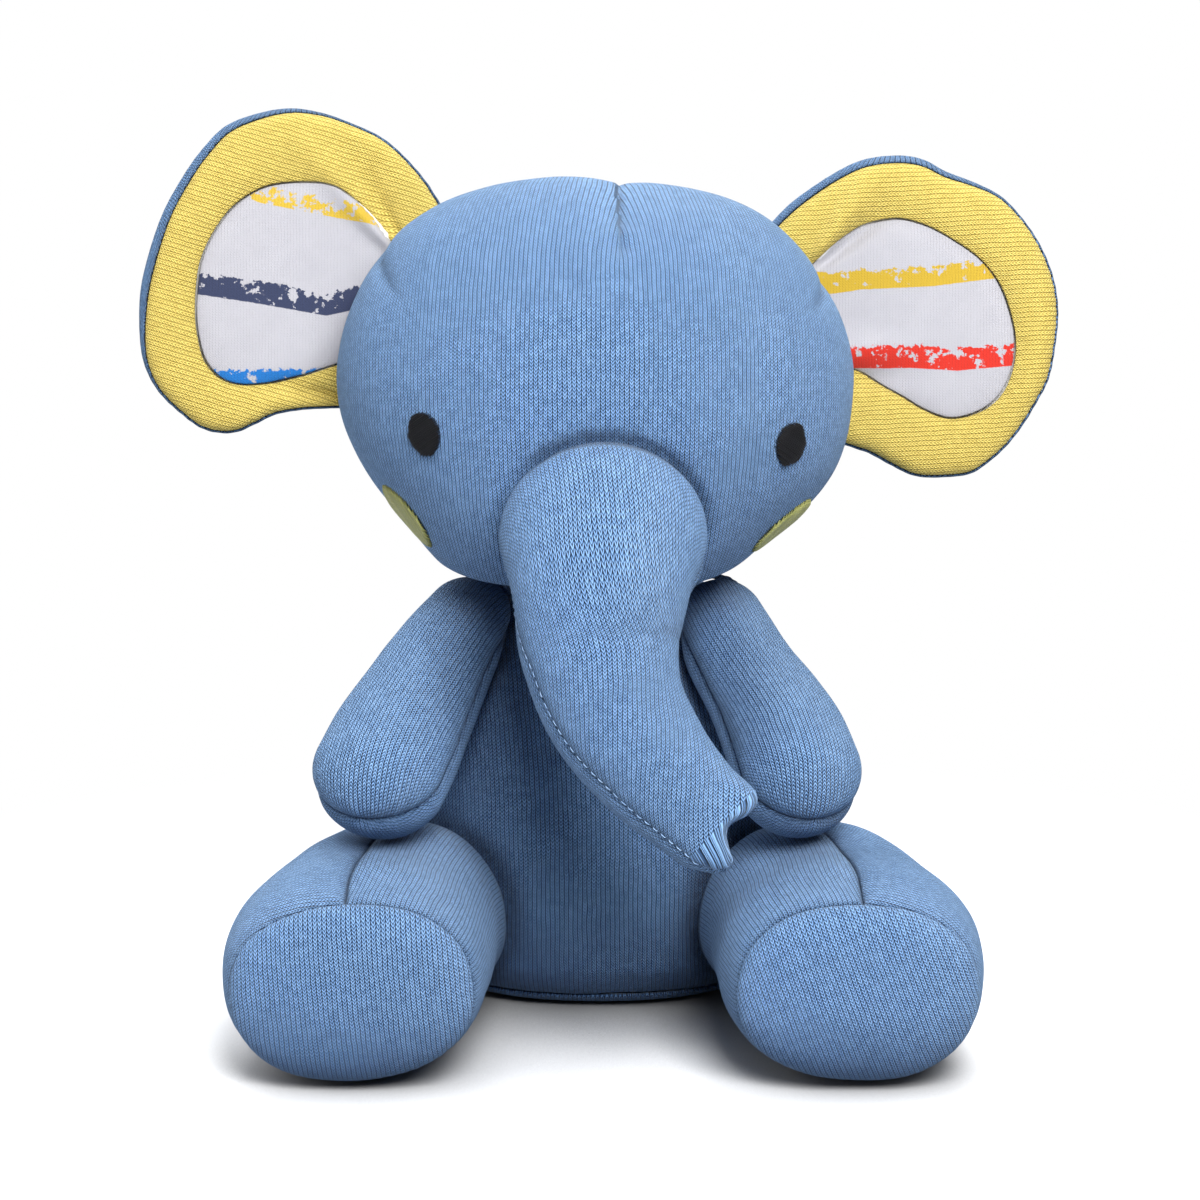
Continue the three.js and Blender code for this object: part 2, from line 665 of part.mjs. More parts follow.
// outlines: across and up from the head's centre
const EAR_OUTLINES = {
  right: {
    edge: [
      [-37.2, 45.8], [-40.7, 51.0], [-45.5, 56.5], [-51.4, 61.3], [-58.6, 64.6],
      [-65.7, 67.0], [-72.8, 67.9], [-81.2, 66.7], [-88.3, 63.7], [-93.5, 58.4],
      [-98.1, 51.8], [-102.6, 43.4], [-106.1, 33.9], [-108.3, 24.4], [-108.8, 14.9],
      [-107.6, 6.6], [-104.2, -0.1], [-99.0, -5.3], [-93.1, -9.1], [-85.9, -9.9],
      [-80.5, -7.7], [-76.4, -5.6], [-70.5, -4.4], [-62.1, -3.9], [-40, 0], [-25, 30],
    ],
    inset: [
      [-40, 30], [-47.9, 36.8], [-52.6, 42.2], [-58.6, 47.0], [-64.5, 49.1],
      [-72.8, 49.6], [-79.5, 48.2], [-85.9, 43.9], [-90.7, 37.5], [-93.5, 31.1],
      [-94.5, 24.4], [-94.7, 17.3], [-93.8, 11.3], [-92.4, 7.3], [-89.0, 3.5],
      [-84.7, 2.0], [-77.6, 2.3], [-70.5, 3.9], [-61.7, 6.8], [-50, 10],
    ],
  },
  left: {
    edge: [
      [42.5, 41.5], [48.5, 47.0], [56.1, 52.2], [63.2, 55.3], [72.3, 56.3], [78.2, 55.3],
      [83.0, 52.9], [90.1, 50.1], [96.1, 47.0], [100.3, 43.0], [104.4, 37.5], [107.5, 31.5],
      [109.4, 25.6], [110.1, 19.6], [109.4, 11.3], [107.7, 3.0], [105.1, -2.2],
      [101.8, -7.7], [98.0, -12.5], [93.7, -16.5], [89.4, -19.4], [83.0, -20.3],
      [75.8, -19.8], [69.9, -17.2], [64.7, -14.4], [60.4, -12.9], [40, -8], [28, 25],
    ],
    inset: [
      [44, 24], [52.8, 31.1], [58.0, 35.8], [64.7, 39.9], [71.1, 41.1], [78.2, 39.4],
      [85.3, 35.6], [91.3, 31.1], [95.1, 26.1], [97.7, 19.6], [99.1, 12.5], [98.4, 5.4],
      [95.6, -0.6], [91.3, -4.1], [84.2, -6.0], [78.2, -4.1], [72.3, -0.6], [66.3, 3.0],
      [62.3, 4.9], [50, 8],
    ],
  },
};

// moves each point of an outline inward, square to the line between its neighbours
function shrink(points, distance) {
  const count = points.length;
  const step = distance * Math.sign(THREE.ShapeUtils.area(points));
  return points.map((point, i) => {
    const before = points[(i + count - 1) % count];
    const after = points[(i + 1) % count];
    const edge = new THREE.Vector2().subVectors(after, before).normalize();
    return new THREE.Vector2(point.x - edge.y * step, point.y + edge.x * step);
  });
}

// a layer of the ear, with heights measured forward from the ear's middle
function earSlab(outline, from, to, inset = 0) {
  const points = outline.map(([x, y]) => new THREE.Vector2(x, y));
  return prism({
    shape: new THREE.Shape(shrink(points, inset)),
    from,
    to,
    axes: [ACROSS, UP, DEEP.clone().negate()],
    origin: headPoint(0, 0, EAR.depth),
  });
}

function addEar(side) {
  const { edge, inset } = EAR_OUTLINES[side];
  const headRoom = head(-EAR.clear);
  const front = EAR.cloth + GAP + EAR.wadding / 2;
  const back = -front;
  const waddingBack = back + EAR.cloth + GAP;
  const layers = {
    back: earSlab(edge, back, back + EAR.cloth),
    wadding: earSlab(edge, waddingBack, waddingBack + EAR.wadding, EAR.waddingInset),
    border: earSlab(edge, front - EAR.cloth, front, EAR.borderInset),
    inset: earSlab(inset, front - EAR.cloth, front),
  };
  const hole = earSlab(inset, back, front + EAR.holeOverrun, -GAP);
  put(`${side}_ear_back_panel`, layers.back.subtract(headRoom), 'knit');
  put(`${side}_ear_wadding`, layers.wadding.subtract(headRoom), 'stuffing');
  put(`${side}_ear_border_panel`, layers.border.subtract(headRoom).subtract(hole), 'earBorder');
  put(`${side}_ear_inset_panel`, layers.inset.subtract(headRoom), 'earInset');
}

// ---------------------------------------------------------------- tail
function addTail() {
  put('tail_cover', hollowTube(TAIL, TAIL_CLOTH).subtract(rootCut(TAIL, 0.5)), 'knit');
  put('tail_stuffing', tube(TAIL, TAIL_CLOTH + GAP), 'stuffing');
}

// ---------------------------------------------------------------- assembly
addTorso();
addHead();
addFacePatches();
addTrunk();
for (const add of [addArm, addLeg, addEar]) {
  for (const [side, sign] of Object.entries(SIDES)) add(side, sign);
}
addTail();

export default root;
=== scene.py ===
import json
import math

import bpy
import numpy as np
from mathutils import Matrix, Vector


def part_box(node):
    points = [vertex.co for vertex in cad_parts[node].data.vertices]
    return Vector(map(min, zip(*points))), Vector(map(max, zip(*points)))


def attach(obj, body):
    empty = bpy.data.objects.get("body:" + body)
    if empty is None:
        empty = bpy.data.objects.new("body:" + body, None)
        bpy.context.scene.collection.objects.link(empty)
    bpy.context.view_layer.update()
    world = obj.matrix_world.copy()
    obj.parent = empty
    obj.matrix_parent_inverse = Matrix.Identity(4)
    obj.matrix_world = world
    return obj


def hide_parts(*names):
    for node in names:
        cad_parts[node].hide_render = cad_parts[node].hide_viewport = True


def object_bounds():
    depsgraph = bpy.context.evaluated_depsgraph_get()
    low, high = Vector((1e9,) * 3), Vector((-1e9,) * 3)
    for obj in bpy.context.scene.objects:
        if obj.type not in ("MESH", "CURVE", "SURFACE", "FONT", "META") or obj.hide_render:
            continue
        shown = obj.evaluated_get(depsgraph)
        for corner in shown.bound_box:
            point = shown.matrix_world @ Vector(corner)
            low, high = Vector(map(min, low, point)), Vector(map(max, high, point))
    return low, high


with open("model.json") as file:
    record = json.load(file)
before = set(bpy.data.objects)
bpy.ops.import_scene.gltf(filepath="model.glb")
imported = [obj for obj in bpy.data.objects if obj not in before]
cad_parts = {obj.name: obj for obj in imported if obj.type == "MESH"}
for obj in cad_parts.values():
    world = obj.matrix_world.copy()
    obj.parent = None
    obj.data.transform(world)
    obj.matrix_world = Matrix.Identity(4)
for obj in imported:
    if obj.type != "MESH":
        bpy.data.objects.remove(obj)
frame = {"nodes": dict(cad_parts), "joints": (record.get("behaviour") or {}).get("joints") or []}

CAD_BOX = [list(v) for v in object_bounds()]
JOINT = {j["name"]: np.array(j["pos_m"], float) * 1000 for j in frame["joints"]}


def cad_box(*nodes):
    los, his = zip(*[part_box(n) for n in nodes])
    return np.array(los, float).min(0) * 1000, np.array(his, float).max(0) * 1000


# ------------------------------------------------------------------ small maths
def unit(v):
    v = np.asarray(v, float)
    return v / np.maximum(np.linalg.norm(v, axis=-1, keepdims=True), 1e-12)


def sgnpow(v, n):
    return np.sign(v) * np.abs(v) ** n


def smooth(e0, e1, x):
    t = np.clip((x - e0) / (e1 - e0), 0, 1)
    return t * t * (3 - 2 * t)


def catmull(points, t, uniform_closed=False):
    """centripetal curve through the points, t 0..1 in steps of one span"""
    p = np.asarray(points, float)
    p = np.vstack([2 * p[0] - p[1], p, 2 * p[-1] - p[-2]])
    n = len(p) - 3
    x = np.clip(np.asarray(t, float), 0, 1) * n
    i = np.minimum(x.astype(int), n - 1)
    w = (x - i)[..., None]
    p0, p1, p2, p3 = p[i], p[i + 1], p[i + 2], p[i + 3]
    d = lambda a, b: np.maximum(np.linalg.norm(a - b, axis=-1), 1e-8)[..., None] ** 0.5
    d0, d1, d2 = d(p0, p1), d(p1, p2), d(p2, p3)
    t1 = ((p1 - p0) / d0 - (p2 - p0) / (d0 + d1) + (p2 - p1) / d1) * d1
    t2 = ((p2 - p1) / d1 - (p3 - p1) / (d1 + d2) + (p3 - p2) / d2) * d1
    return p1 + w * (t1 + w * ((-3 * p1 + 3 * p2 - 2 * t1 - t2) + w * (2 * p1 - 2 * p2 + t1 + t2)))


def closed_curve(points, n):
    """n points evenly along a smooth closed curve"""
    p = np.asarray(points, float)
    k = len(p)
    ext = np.vstack([p[-2:], p, p[:3]])
    t = (np.arange(k * 16) / 16 + 2) / (len(ext) - 1)
    c = catmull(ext, t)
    c = np.vstack([c, c[:1]])
    s = np.r_[0, np.cumsum(np.linalg.norm(np.diff(c, axis=0), axis=1))]
    q = np.linspace(0, s[-1], n, endpoint=False)
    return np.stack([np.interp(q, s, c[:, a]) for a in range(c.shape[1])], -1)


def noise(p, scale, seed=0):
    """smooth noise -1..1 at points p in mm"""
    q = np.asarray(p, float) / scale + 512.37 + seed * 17.13
    i = np.floor(q).astype(np.int64)
    f = q - i
    f = f * f * f * (f * (f * 6 - 15) + 10)
    out = 0
    for a in (0, 1):
        for b in (0, 1):
            for c in (0, 1):
                h = ((i[..., 0] + a) * 73856093) ^ ((i[..., 1] + b) * 19349663) ^ ((i[..., 2] + c) * 83492791) ^ (seed * 26544357)
                h = ((h ^ (h >> 13)) * 1274126177) & 0xFFFFFFFF
                h = ((h ^ (h >> 15)) & 0xFFFF) / 32767.5 - 1
                out = out + h * np.where(a, f[..., 0], 1 - f[..., 0]) * np.where(b, f[..., 1], 1 - f[..., 1]) * np.where(c, f[..., 2], 1 - f[..., 2])
    return out


def spaced(length, near, far, ends, grow=0.12):
    """parameters 0..1 along a length in mm, close together at the ends that have a seam"""
    x = np.linspace(0, length, 2000)
    d = np.full_like(x, 1e9)
    if ends[0]:
        d = np.minimum(d, x)
    if ends[1]:
        d = np.minimum(d, length - x)
    step = np.minimum(far, near + grow * d)
    c = np.r_[0, np.cumsum((x[1] - x[0]) / ((step[1:] + step[:-1]) / 2))]
    n = max(4, int(round(c[-1])))
    return np.interp(np.linspace(0, c[-1], n + 1), c, x) / length


def seg_dist(p, line):
    """distance and run along a polyline for points p, in mm"""
    best = np.full(p.shape[:-1], 1e9)
    run = np.zeros(p.shape[:-1])
    done = 0.0
    for a, b in zip(line[:-1], line[1:]):
        ab = b - a
        L = np.linalg.norm(ab)
        t = np.clip(((p - a) @ ab) / (L * L), 0, 1)
        d = np.linalg.norm(p - a - t[..., None] * ab, axis=-1)
        m = d < best
        best = np.where(m, d, best)
        run = np.where(m, done + t * L, run)
        done += L
    return best, run, done


# ------------------------------------------------------------------ meshes
def cumlen(P, axis):
    d = np.linalg.norm(np.diff(P, axis=axis), axis=-1)
    z = np.zeros_like(np.take(d, [0], axis=axis))
    return np.concatenate([z, np.cumsum(d, axis=axis)], axis=axis)


def grid_normals(P, wrap, ref):
    if wrap:
        E = np.concatenate([P[:, -1:], P, P[:, :1]], axis=1)
        dj = E[:, 2:] - E[:, :-2]
    else:
        dj = np.gradient(P, axis=1)
    di = np.gradient(P, axis=0)
    N = np.cross(di, dj)
    bad = np.linalg.norm(N, axis=-1) < 1e-9
    for i in (0, -1):
        if bad[i].any():
            k = 1 if i == 0 else -2
            N[i] = N[k].mean(0) if wrap else N[k]
    N = unit(N)
    for i in (0, -1):
        if np.ptp(P[i], axis=0).max() < 1e-6:
            k = 1 if i == 0 else -2
            N[i] = unit(N[k].mean(0))
    flip = np.mean(np.sum(N * (P - ref), -1)) < 0
    return (-N if flip else N), flip


def mesh_from(name, V, faces3, faces4, attrs=None):
    me = bpy.data.meshes.new(name)
    me.vertices.add(len(V))
    me.vertices.foreach_set("co", (np.asarray(V, float) * 0.001).astype(np.float32).ravel())
    nt, nq = len(faces3), len(faces4)
    loops = np.concatenate([np.asarray(faces3, np.int32).ravel(), np.asarray(faces4, np.int32).ravel()])
    me.loops.add(len(loops))
    me.loops.foreach_set("vertex_index", loops)
    me.polygons.add(nt + nq)
    starts = np.concatenate([np.arange(nt) * 3, nt * 3 + np.arange(nq) * 4]).astype(np.int32)
    me.polygons.foreach_set("loop_start", starts)
    me.polygons.foreach_set("loop_total", np.concatenate([np.full(nt, 3), np.full(nq, 4)]).astype(np.int32))
    me.polygons.foreach_set("use_smooth", np.ones(nt + nq, bool))
    me.update(calc_edges=True)
    me.validate()
    for key, val in (attrs or {}).items():
        val = np.asarray(val, np.float32)
        kind = "FLOAT" if val.ndim == 1 else "FLOAT_VECTOR"
        a = me.attributes.new(key, kind, "POINT")
        a.data.foreach_set("value" if val.ndim == 1 else "vector", val.ravel())
    ob = bpy.data.objects.new(name, me)
    bpy.context.scene.collection.objects.link(ob)
    return ob


def place(ob, body, mat, nodes=()):
    ob.data.materials.clear()
    ob.data.materials.append(mat)
    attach(ob, body)
    if nodes:
        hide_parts(*nodes)
    return ob


def shell(name, P, ref, thick=0.9, wrap=False, attrs=None, inner=None):
    """closed piece of cloth: the grid P outside, and the same grid a thickness further in"""
    ni, nj = P.shape[:2]
    N, flip = grid_normals(P, wrap, ref)
    Q = P - N * thick if inner is None else inner
    pole0 = np.ptp(P[0], axis=0).max() < 1e-6
    pole1 = np.ptp(P[-1], axis=0).max() < 1e-6
    ids = np.arange(ni * nj).reshape(ni, nj)
    if pole0:
        ids[0, :] = ids[0, 0]
    if pole1:
        ids[-1, :] = ids[-1, 0]
    if wrap:
        ids = np.concatenate([ids, ids[:, :1]], axis=1)
    a, b, c, d = ids[:-1, :-1], ids[:-1, 1:], ids[1:, 1:], ids[1:, :-1]
    quads = np.stack([a, d, c, b], -1)
    tris = []
    lo, hi = (1 if pole0 else 0), (quads.shape[0] - (1 if pole1 else 0))
    main = quads[lo:hi].reshape(-1, 4)
    if pole0:
        q = quads[0]
        tris.append(np.stack([q[:, 0], q[:, 1], q[:, 2]], -1))
    if pole1:
        q = quads[-1]
        tris.append(np.stack([q[:, 0], q[:, 1], q[:, 3]], -1))
    tris = np.concatenate(tris) if tris else np.zeros((0, 3), int)
    if flip:
        main, tris = main[:, ::-1], tris[:, ::-1]
    off = ni * nj
    sides = []

    def strip(r, forward):
        s = np.stack([r[:-1], r[1:], r[1:] + off, r[:-1] + off], -1)
        if forward == flip:
            s = s[:, ::-1]
        sides.append(s)

    if not pole0:
        strip(ids[0], True)
    if not pole1:
        strip(ids[-1], False)
    if not wrap:
        strip(ids[:, 0], False)
        strip(ids[:, -1], True)
    quads_all = np.concatenate([main, main[:, ::-1] + off] + sides)
    # a side strip that ends on a pole has a doubled corner there
    dup = (quads_all[:, 0] == quads_all[:, 1]) | (quads_all[:, 2] == quads_all[:, 3])
    quads_all = quads_all[~dup]
    tris_all = np.concatenate([tris, tris[:, ::-1] + off])
    V = np.concatenate([P.reshape(-1, 3), Q.reshape(-1, 3)])
    at = {}
    for k, v in (attrs or {}).items():
        v = np.asarray(v, float)
        v = v.reshape(ni * nj, -1) if v.ndim == 3 else v.reshape(-1)
        at[k] = np.concatenate([v, v])
    used = np.unique(np.concatenate([quads_all.ravel(), tris_all.ravel()]))
    remap = np.full(len(V), -1)
    remap[used] = np.arange(len(used))
    return mesh_from(name, V[used], remap[tris_all], remap[quads_all], {k: v[used] for k, v in at.items()})


def seam_dip(d, t, a1=0.75, w1=0.75, a2=0.75, w2=5.0, pucker=0.26, pitch=3.1, seed=1):
    """how far cloth sinks near a seam, d from it and t along it, in mm"""
    wob = np.sin(t / 7.3 + seed) * 0.6 + np.sin(t / 3.9 + 2.1 * seed) * 0.35
    pk = 0.5 + 0.5 * np.cos(2 * np.pi * t / pitch + 2.2 * wob)
    amp = 0.65 + 0.35 * np.sin(t / 11.0 + 3.7 * seed)
    return -a1 * np.exp(-d / w1) - a2 * np.exp(-((d / w2) ** 2)) - pucker * amp * pk * np.exp(-d / 2.4) * smooth(0, 0.9, d)


def lumps(P, amp=0.55, seed=0):
    return amp * (noise(P, 19.0, seed) * 0.75 + noise(P, 9.0, seed + 1) * 0.25)


# ------------------------------------------------------------------ the forms, placed on the frame
TILT = math.radians(11)
RIGHT = np.array([1.0, 0, 0])
UP = np.array([0, math.sin(TILT), math.cos(TILT)])
DEEP = np.array([0, math.cos(TILT), -math.sin(TILT)])

TUBES = {
    "trunk": dict(joint="trunk_lift", root=21, cap=3.2, power=2.0,
                  line=[[0.0, 0, 0.0], [0.2, -20, -1.8], [-0.2, -32.4, -10.6], [-0.4, -38.3, -23.5], [2.7, -42, -35.3], [10.6, -45, -47.1], [19.4, -47.5, -56.2], [25.7, -49.5, -61.8]],
                  size=[[21, 21], [23.4, 22.6], [20.4, 19.2], [17.6, 16.8], [15.8, 15.2], [14.1, 13], [12.2, 10.6], [11.2, 8.4]]),
    "right_arm": dict(joint="right_arm_raise", root=11.2, cap=14.2, power=2.0,
                      line=[[0, 0.0, 0.0], [-4.0, -8.4, -3.6], [-8.2, -16.9, -9.3], [-12.3, -25.4, -15.5], [-16.2, -33.5, -21.4], [-19.3, -40.5, -26.9]],
                      size=[[11.2, 11.2], [11.8, 11.8], [13, 12.8], [14.4, 13.8], [15.6, 14.6], [15.8, 14.8]]),
    "left_arm": dict(joint="left_arm_raise", root=11.2, cap=14.2, power=2.0,
                     line=[[0.0, 0.0, 0.0], [2.6, -8.2, -3.7], [6.5, -16.7, -9.4], [10.9, -25.2, -15.6], [14.6, -33.5, -21.4], [16.9, -40.5, -26.9]],
                     size=[[11.2, 11.2], [11.6, 11.6], [12.2, 12.2], [13.3, 13.2], [14.4, 14.2], [14.7, 14.6]]),
    "right_leg": dict(joint="right_leg_lift", root=20, cap=10.4, power=2.25,
                      line=[[0.0, 0, 0.0], [-9.5, -18, 1.3], [-14.3, -34, 0.4], [-16.5, -48, 0.1], [-16.9, -64, -1.1]],
                      size=[[20, 20], [26, 24.6], [28.6, 23.5], [29.8, 23.5], [28.4, 21.8]]),
    "left_leg": dict(joint="left_leg_lift", root=20, cap=10.4, power=2.25,
                     line=[[0, 0, 0.0], [9.5, -18, 1.3], [14.5, -34, 0.4], [16.6, -48, 0.1], [17.3, -64, -1.1]],
                     size=[[20, 20], [26, 24.6], [28.8, 23.5], [30, 23.5], [28.2, 21.8]]),
    "tail": dict(joint="tail_swing", root=4.6, cap=4, power=2.0,
                 line=[[0, 0, 0], [0, 6, 0], [0, 12, -2.5], [0, 16.5, -7.5], [0, 19, -12.2]],
                 size=[[4.6, 4.6], [4.6, 4.4], [4.3, 4.1], [4.3, 4], [4.8, 4.2]]),
}
for key, spec in TUBES.items():
    spec["pivot"] = JOINT[spec["joint"]]
    pts = np.array(spec["line"], float) + spec["pivot"]
    n = 500
    t = np.linspace(0, 1, n + 1)
    C = catmull(pts, t)
    size = catmull(np.array(spec["size"], float), t)
    T = unit(catmull(pts, np.clip(t + 1e-4, 0, 1)) - catmull(pts, np.clip(t - 1e-4, 0, 1)))
    U = np.zeros_like(T)
    u = RIGHT.copy()
    for i in range(n + 1):
        u = unit(u - u.dot(T[i]) * T[i])
        U[i] = u
    W = -np.cross(U, T)
    spec.update(C=C, T=T, U=U, W=W, A=size[:, 0], B=size[:, 1], n=n, name=key)


def tube(spec, s, phi, inset=0.0):
    """points of a stuffed tube: s 0..1 from its root to its tip, phi round it"""
    s, phi = np.broadcast_arrays(np.asarray(s, float), np.asarray(phi, float))
    s0, s1 = 0.22, 0.78
    n = spec["n"]
    x = np.clip((s - s0) / (s1 - s0), 0, 1) * n
    i = np.minimum(x.astype(int), n - 1)
    q = (x - i)[..., None]
    lerp = lambda arr: arr[i] * (1 - q) + arr[i + 1] * q
    C, U, W, T = lerp(spec["C"]), unit(lerp(spec["U"])), unit(lerp(spec["W"])), unit(lerp(spec["T"]))
    A = spec["A"][i] * (1 - q[..., 0]) + spec["A"][i + 1] * q[..., 0]
    B = spec["B"][i] * (1 - q[..., 0]) + spec["B"][i + 1] * q[..., 0]
    al = np.clip((s - s1) / (1 - s1), 0, 1) * np.pi / 2
    k, h = np.cos(al), (spec["cap"] - inset) * np.sin(al)
    e = 2 / (2 + (spec["power"] - 2) * np.clip((s - s0) / 0.2, 0, 1))
    P = C + T * h[..., None] + U * (k * (A - inset) * sgnpow(np.cos(phi), e))[..., None] + W * (k * (B - inset) * sgnpow(np.sin(phi), e))[..., None]
    ar = np.clip(s / s0, 0, 1) * np.pi / 2
    r = spec["root"] - inset
    R = spec["pivot"] - spec["T"][0] * (r * np.cos(ar))[..., None] + (spec["U"][0] * np.cos(phi)[..., None] + spec["W"][0] * np.sin(phi)[..., None]) * (r * np.sin(ar))[..., None]
    return np.where((s < s0)[..., None], R, P)


def tube_rows(spec, sa, sb, near, far, ends):
    """values of s between sa and sb, evenly along the tube's side"""
    s = np.linspace(sa, sb, 900)
    L = sum(np.r_[0, np.cumsum(np.linalg.norm(np.diff(tube(spec, s, np.full_like(s, f)), axis=0), axis=1))] for f in (0.0, np.pi / 2, np.pi, -np.pi / 2)) / 4
    u = spaced(L[-1], near, far, ends)
    return np.interp(u * L[-1], L, s)


HEAD = dict(front=50.0, back=47.0, power=2.3, seam=12.0,
            outline=[55.53, -0.25, 0.1, 4.57, -0.31, 0.36, 1.64, 0.03, -0.3, -0.08, -0.17, 0.38, -0.28, -0.21, -0.48, 0.01, 0.06, -0.08, -0.03, -0.05, 0.07, 0.01, 0.04])
lo, hi = cad_box("head_front_panel", "head_back_panel")


def outline(phi):
    k = HEAD["outline"]
    r = np.full_like(np.asarray(phi, float), k[0])
    for i in range(1, (len(k) - 1) // 2 + 1):
        r = r + k[2 * i - 1] * np.cos(i * phi) + k[2 * i] * np.sin(i * phi)
    return r


def head_dir(theta, alpha):
    """direction from the head's centre: alpha from the face's middle, theta round it"""
    return (-DEEP * np.cos(alpha)[..., None] + RIGHT * (np.sin(alpha) * np.cos(theta))[..., None] + UP * (np.sin(alpha) * np.sin(theta))[..., None])


def head_r(theta, alpha):
    rho = np.sin(alpha) / outline(theta)
    w = -np.cos(alpha)
    dep = np.abs(w) / np.where(w < 0, HEAD["front"], HEAD["back"])
    return (np.abs(rho) ** HEAD["power"] + dep ** HEAD["power"]) ** (-1 / HEAD["power"])


_t, _a = np.meshgrid(np.linspace(0, 2 * np.pi, 181), np.linspace(0, np.pi, 121))
_p = head_dir(_t, _a) * head_r(_t, _a)[..., None]
HEADC = np.array([(lo[0] + hi[0]) / 2 - (_p[..., 0].min() + _p[..., 0].max()) / 2,
                  (lo[1] + hi[1]) / 2 - (_p[..., 1].min() + _p[..., 1].max()) / 2,
                  hi[2] - _p[..., 2].max()])


def head_point(u, v, w):
    return HEADC + RIGHT * np.asarray(u, float)[..., None] + UP * np.asarray(v, float)[..., None] + DEEP * np.asarray(w, float)[..., None]


def head_uvw(P):
    q = P - HEADC
    return q @ RIGHT, q @ UP, q @ DEEP


def head_level(P):
    """about how far P is outside the head's surface, in mm"""
    u, v, w = head_uvw(P)
    rho = np.hypot(u, v) / outline(np.arctan2(v, u))
    dep = np.abs(w) / np.where(w < 0, HEAD["front"], HEAD["back"])
    f = (rho ** HEAD["power"] + dep ** HEAD["power"]) ** (1 / HEAD["power"])
    return (f - 1) / np.maximum(f, 1e-6) * np.linalg.norm(P - HEADC, axis=-1)


def on_head(u, v, lift=0.0):
    """the point of the face over (u, v)"""
    u, v = np.asarray(u, float), np.asarray(v, float)
    rho = np.hypot(u, v) / outline(np.arctan2(v, u))
    w = -HEAD["front"] * np.maximum(0, 1 - rho ** HEAD["power"]) ** (1 / HEAD["power"])
    p = head_point(u, v, w)
    return p + unit(p - HEADC) * lift


NECK = JOINT["head_nod"]
CHIN = np.array([[0, 101.5], [20, 102], [27, 105.5], [34, 109.4], [45, 105.6], [60, 98.6], [75, 60]])
CHIN[:, 1] += NECK[2] - 99.4


def chin_lift(P):
    """the head's underside is pressed up by the neck and shoulders it rests on"""
    r = np.hypot(P[..., 0] - NECK[0], P[..., 1] - NECK[1])
    z = np.interp(r, CHIN[:, 0], CHIN[:, 1])
    k = 2.2
    m = np.maximum(P[..., 2], z)
    out = m + k * 0.25 * np.maximum(0, 1 - np.abs(P[..., 2] - z) / k) ** 2
    Q = P.copy()
    Q[..., 2] = np.where(r < 75, out, P[..., 2])
    return Q


BODY = np.array([[0, 0, 33, 26, 33], [2.2, 0, 39, 31, 38], [11, 0, 47.5, 38, 43], [25, 0, 51.2, 42, 45.5], [40, 0, 51, 42.4, 44.5],
                 [55, -0.4, 48.6, 39.8, 41.5], [70, -1.6, 44.4, 35, 37], [82, -3, 40.2, 29.4, 32.5], [91, -4, 36.4, 24.5, 28], [96, -4.2, 31, 19.5, 24], [98, -4.2, 25, 15, 19.5]], float)
lo, hi = cad_box("torso_front_panel", "torso_back_left_panel", "torso_back_right_panel", "torso_base_panel")
BODY_Y = (lo[1] + hi[1]) / 2 - (45.5 - 42.4) / 2
BODY_X = (lo[0] + hi[0]) / 2
BODY_Z = lo[2]
_bt = np.linspace(0, 1, 401)
BODY_T = np.concatenate([catmull(BODY[:, :2], _bt), catmull(BODY[:, 2:], _bt)], 1)


def body(s, phi, inset=0.0):
    """points of the torso: s 0..1 from the middle of its base to the middle of its neck"""
    s, phi = np.broadcast_arrays(np.asarray(s, float), np.asarray(phi, float))
    s0, s1 = 0.1, 0.9
    x = np.clip((s - s0) / (s1 - s0), 0, 1) * 400
    i = np.minimum(x.astype(int), 399)
    q = (x - i)[..., None]
    K = BODY_T[i] * (1 - q) + BODY_T[i + 1] * q
    k = np.where(s < s0, s / s0, np.where(s > s1, (1 - s) / (1 - s1), 1.0))
    c, sn, n = -np.cos(phi), np.sin(phi), 2 / 2.2
    dep = np.where(sn < 0, K[..., 3], K[..., 4])
    top = 98 + 12.5 * (np.exp(-((k * 25 / 17) ** 2)) - math.exp(-((25 / 17) ** 2))) / (1 - math.exp(-((25 / 17) ** 2)))
    z = np.where(s > s1, top, K[..., 0])
    z = np.maximum(inset, z) - np.where(s > s1, inset, 0)
    return np.stack([BODY_X + K[..., 1] + k * (K[..., 2] - inset) * sgnpow(c, n), BODY_Y + k * (dep - inset) * sgnpow(sn, n), BODY_Z + z], -1)


